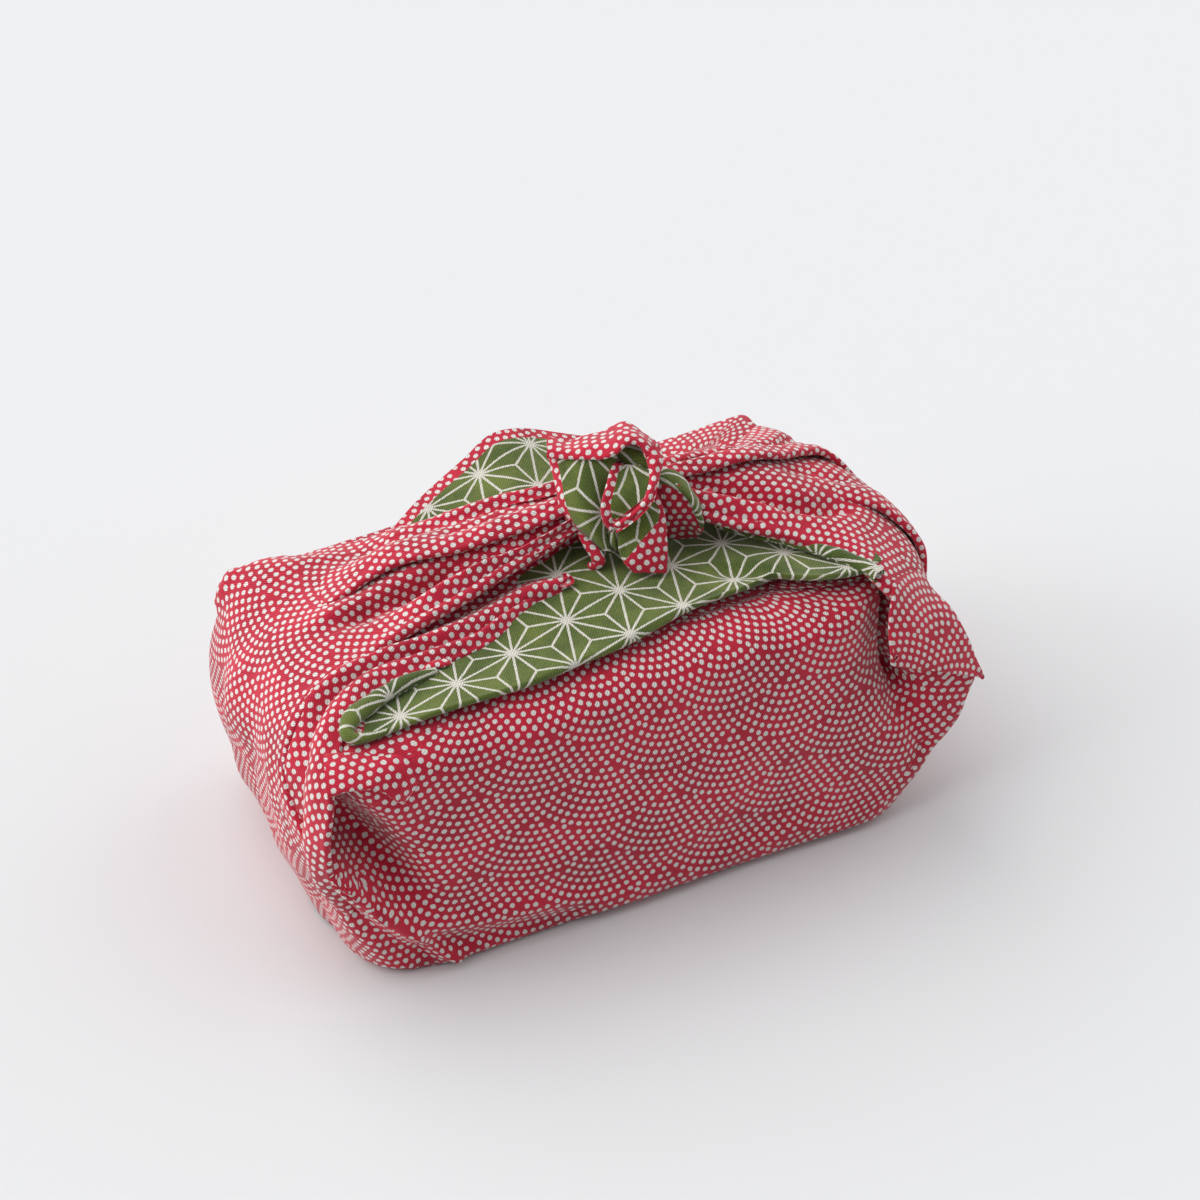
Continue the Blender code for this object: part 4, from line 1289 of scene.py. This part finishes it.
def showing_fan(x, y, cover=FAN_COVER):
    """The middle of the fan that shows at a place: of those that cover it, the highest."""
    nearest = (x / FAN_COLUMN).round()
    best = None
    for offset in (0, -1, 1):
        number = nearest + offset
        column = number * FAN_COLUMN
        away = x - column
        shift = number.is_odd() * (FAN_REPEAT / 2)
        reach = cover**2 - away * away
        chord = reach.math("MAXIMUM", 0.0).math("SQRT")
        centre = ((y + chord - shift) / FAN_REPEAT).math("FLOOR") * FAN_REPEAT + shift
        above = chord - (centre - y)
        covered = above.math("MINIMUM", reach).math("GREATER_THAN", 0.0)
        rank = mix(covered, NOT_COVERED, abs(away - SIDE_BIAS) * NEARER_RANK + centre)
        if best is None:
            best = (rank, column, centre)
        else:
            wins = rank.math("GREATER_THAN", best[0])
            best = tuple(mix(wins, old, new) for old, new in zip(best, (rank, column, centre)))
    return best[1], best[2]


def dots(x, y):
    """1 inside a printed dot. Dots lie on the rings of each fan, a little clear of the fans over it."""
    x, y = turned(x, y, FAN_TURN)
    fan_x, fan_y = showing_fan(x, y)
    away, down = x - fan_x, fan_y - y
    ring = ((length(away, down) - FIRST_RING) / RING_STEP).round()
    radius = ring.math("MAXIMUM", 0.0) * RING_STEP + FIRST_RING
    step = 2 * math.pi / (radius * (2 * math.pi / DOT_STEP)).round()
    stagger = ring * RING_STAGGER
    turn = away.math("ARCTAN2", down) / step - stagger
    angle = (turn.round() + stagger) * step
    dot_x = angle.math("SINE") * radius + fan_x
    dot_y = fan_y - angle.math("COSINE") * radius
    own_x, own_y = showing_fan(dot_x, dot_y, FAN_COVER + BORDER_GAP)
    on_own_fan = length(own_x - fan_x, own_y - fan_y).math("LESS_THAN", 1.0)
    inside = ramp(length(x - dot_x, y - dot_y), DOT_RADIUS + DOT_BLUR, DOT_RADIUS - DOT_BLUR)
    return inside * on_own_fan


def leaf_lines(x, y):
    """1 on a printed line of the hemp leaves: triangles, with their corners joined to their middles."""
    height, long_period = STAR_STEP * math.sqrt(3) / 2, STAR_STEP * math.sqrt(3)
    nearest = None
    for index in range(3):
        turn = STAR_TURN + index * math.pi / 3
        _, off = turned(x, y, turn)
        side_gap = off_whole(off / height) * height
        along, off = turned(x, y, turn + math.pi / 6)
        line = off / (STAR_STEP / 2)
        number = line.round()
        from_star = off_whole((along + number.is_odd() * height) / long_period) * long_period
        past = (from_star - STAR_STEP / math.sqrt(3)).math("MAXIMUM", 0.0)
        leaf_gap = length((line - number) * (STAR_STEP / 2), past)
        for gap in (side_gap, leaf_gap):
            nearest = gap if nearest is None else nearest.math("MINIMUM", gap)
    out, into = LINE_BLUR
    return ramp(nearest, LINE_HALF_WIDTH + out, LINE_HALF_WIDTH + into)


def cotton_material(name, green):
    """Ribbed cotton with its print: red with dots, or green with leaves and a red hem, and painted shade
    in the rib's troughs.
    """
    material = bpy.data.materials.new(name)
    material.use_nodes = True
    tree = material.node_tree
    shader = tree.nodes["Principled BSDF"]
    place = add_node(tree, "ShaderNodeAttribute", attribute_name="cloth_place").outputs["Vector"]
    x, y, from_hem = split(tree, place)
    fuzz_x, fuzz_y, _ = split(tree, noise(tree, place, PRINT_FUZZ)["Color"])
    print_x, print_y = (fuzz_x - 0.5) * FUZZ_REACH + x, (fuzz_y - 0.5) * FUZZ_REACH + y
    patch, thread = (Number(tree, noise(tree, place, kind)["Fac"]) for kind in (DYE_PATCHES, DYE_THREADS))
    speckle = ramp(mix(0.5, patch, thread), *DYE_RANGE)
    print_colour = mixed_colour(dots(print_x, print_y), mixed_colour(speckle, RED_DEEP, RED), DOT_COLOUR)
    if green:
        lines = leaf_lines(print_x, print_y) * LINE_STRENGTH
        leaves = mixed_colour(lines, mixed_colour(speckle, GREEN, GREEN_LIGHT), LINE_COLOUR)
        print_colour = mixed_colour(from_hem.math("LESS_THAN", HEM_WIDTH), leaves, print_colour)
    _, across_rib = turned(x, y, RIB_TURN)
    rib = ((fuzz_x * RIB_STRAY + across_rib) * (2 * math.pi / RIB_PITCH)).math("SINE") * 0.5 + 0.5
    worn = ramp(patch, *WORN_RANGE)
    # Painted shade: the colour is multiplied darker in the rib's troughs, less deeply on worn cloth.
    shade = rib.math("POWER", RIB_POWER) * mix(worn, *RIB_DEPTH) + mix(worn, *RIB_FLOOR)
    rib_painted_shade = add_node(tree, "ShaderNodeCombineXYZ", {"X": shade, "Y": shade, "Z": shade}).outputs[0]
    inputs = {"Factor": 1.0, "A": print_colour, "B": rib_painted_shade}
    shaded = add_node(tree, "ShaderNodeMix", inputs, data_type="RGBA", blend_type="MULTIPLY")
    feed(tree, shader.inputs["Base Color"], shaded.outputs["Result"])
    weave = Number(tree, noise(tree, place, WEAVE)["Fac"])
    relief = {"Height": weave * WEAVE_HEIGHT + rib, "Strength": BUMP_STRENGTH, "Distance": BUMP_DISTANCE}
    feed(tree, shader.inputs["Normal"], add_node(tree, "ShaderNodeBump", relief).outputs["Normal"])
    for socket, value in COTTON.items():
        shader.inputs[socket].default_value = value
    return material


# --- Floor, light and camera -------------------------------------------------------------------------

# Metres.
CAMERA_PLACE = (-0.2477, -0.5567, 0.5462)
CAMERA_TARGET = (0.0478, 0.0770, 0.0)
LENS_MM = 75.0
SENSOR_MM = 36.0
FLOOR_SIZE = 8.0
FLOOR_COLOUR = (0.70, 0.70, 0.70)
FLOOR_ROUGHNESS = 0.9
WORLD_FRONT = (0.19, 0.20, 0.22)
WORLD_BACK = (0.70, 0.72, 0.74)
# The suns, a row each: where the light comes from, the softness as an angle in degrees, and the strength.
SUNS = {
    "window": ((-0.60, 0.58, 1.0), 80.0, 2.2),
    "left_fill": ((-1.0, 0.15, 0.30), 45.0, 0.9),
    "right_fill": ((1.0, -0.20, 0.75), 75.0, 0.80),
}


def aim(thing, place, target):
    """Puts a lamp or a camera at a place, facing the target."""
    thing.location = place
    way = Vector(target) - Vector(place)
    thing.rotation_euler = way.to_track_quat("-Z", "Y").to_euler()


def add_floor():
    bpy.ops.mesh.primitive_plane_add(size=FLOOR_SIZE, location=(0, 0, 0))
    floor = bpy.context.object
    floor.name = "floor"
    paper = bpy.data.materials.new("pale_floor")
    paper.use_nodes = True
    shader = paper.node_tree.nodes["Principled BSDF"]
    shader.inputs["Base Color"].default_value = (*FLOOR_COLOUR, 1)
    shader.inputs["Roughness"].default_value = FLOOR_ROUGHNESS
    floor.data.materials.append(paper)


def add_lights():
    """A pale studio round the object, brighter at the back, and soft suns."""
    world = bpy.data.worlds.new("studio")
    world.use_nodes = True
    tree = world.node_tree
    way = add_node(tree, "ShaderNodeTexCoord").outputs["Generated"]
    towards_back = split(tree, way)[1]
    sky = mixed_colour(ramp(towards_back, -1.0, 1.0), WORLD_FRONT, WORLD_BACK)
    feed(tree, tree.nodes["Background"].inputs["Color"], sky)
    bpy.context.scene.world = world
    for name, (place, angle, strength) in SUNS.items():
        light = bpy.data.lights.new(name, "SUN")
        light.angle = math.radians(angle)
        light.energy = strength
        lamp = bpy.data.objects.new(name, light)
        bpy.context.scene.collection.objects.link(lamp)
        aim(lamp, place, (0, 0, 0))


def add_camera():
    view = bpy.data.cameras.new("camera")
    view.lens = LENS_MM
    view.sensor_width = SENSOR_MM
    camera = bpy.data.objects.new("camera", view)
    bpy.context.scene.collection.objects.link(camera)
    aim(camera, CAMERA_PLACE, CAMERA_TARGET)
    bpy.context.scene.camera = camera
    bpy.context.scene.view_settings.view_transform = "Standard"


def make_cloth():
    """The whole cloth, as one mesh with a material for each side."""
    cloth = Cloth()
    add_wrapped_box(cloth)
    add_arm(cloth, LEFT_ARM, LEFT_CREASES, LEFT_PLEATS, 1, LEFT_ARM_SEED)
    add_arm(cloth, RIGHT_ARM, RIGHT_CREASES, RIGHT_PLEATS, -1, RIGHT_ARM_SEED)
    for index, band in enumerate(BANDS.values()):
        add_band(cloth, band, BAND_SEED + index)
    add_front_corner(cloth)
    add_flap(cloth)
    up = (0.0, 0.0, 1.0)
    for rows in GREEN_ROLLS.values():
        add_roll(cloth, rows, up, GREEN_SIDE)
    add_roll(cloth, LIP_CORNER, up, RED_SIDE)
    add_knot_core(cloth)
    for index, patch in enumerate(KNOT_PATCHES.values()):
        add_patch(cloth, patch, PATCH_SEED + index)
    corner = np.array(HEM_CORNER)
    corner[:, :3] = knot_points(corner)
    add_roll(cloth, corner, knot_axes()[2], RED_SIDE)
    materials = [cotton_material("red_side", False), cotton_material("green_side", True)]
    return cloth.build("furoshiki", materials)


furoshiki = make_cloth()
add_floor()
add_lights()
add_camera()
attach(furoshiki, "root")
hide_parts("furoshiki_cloth")
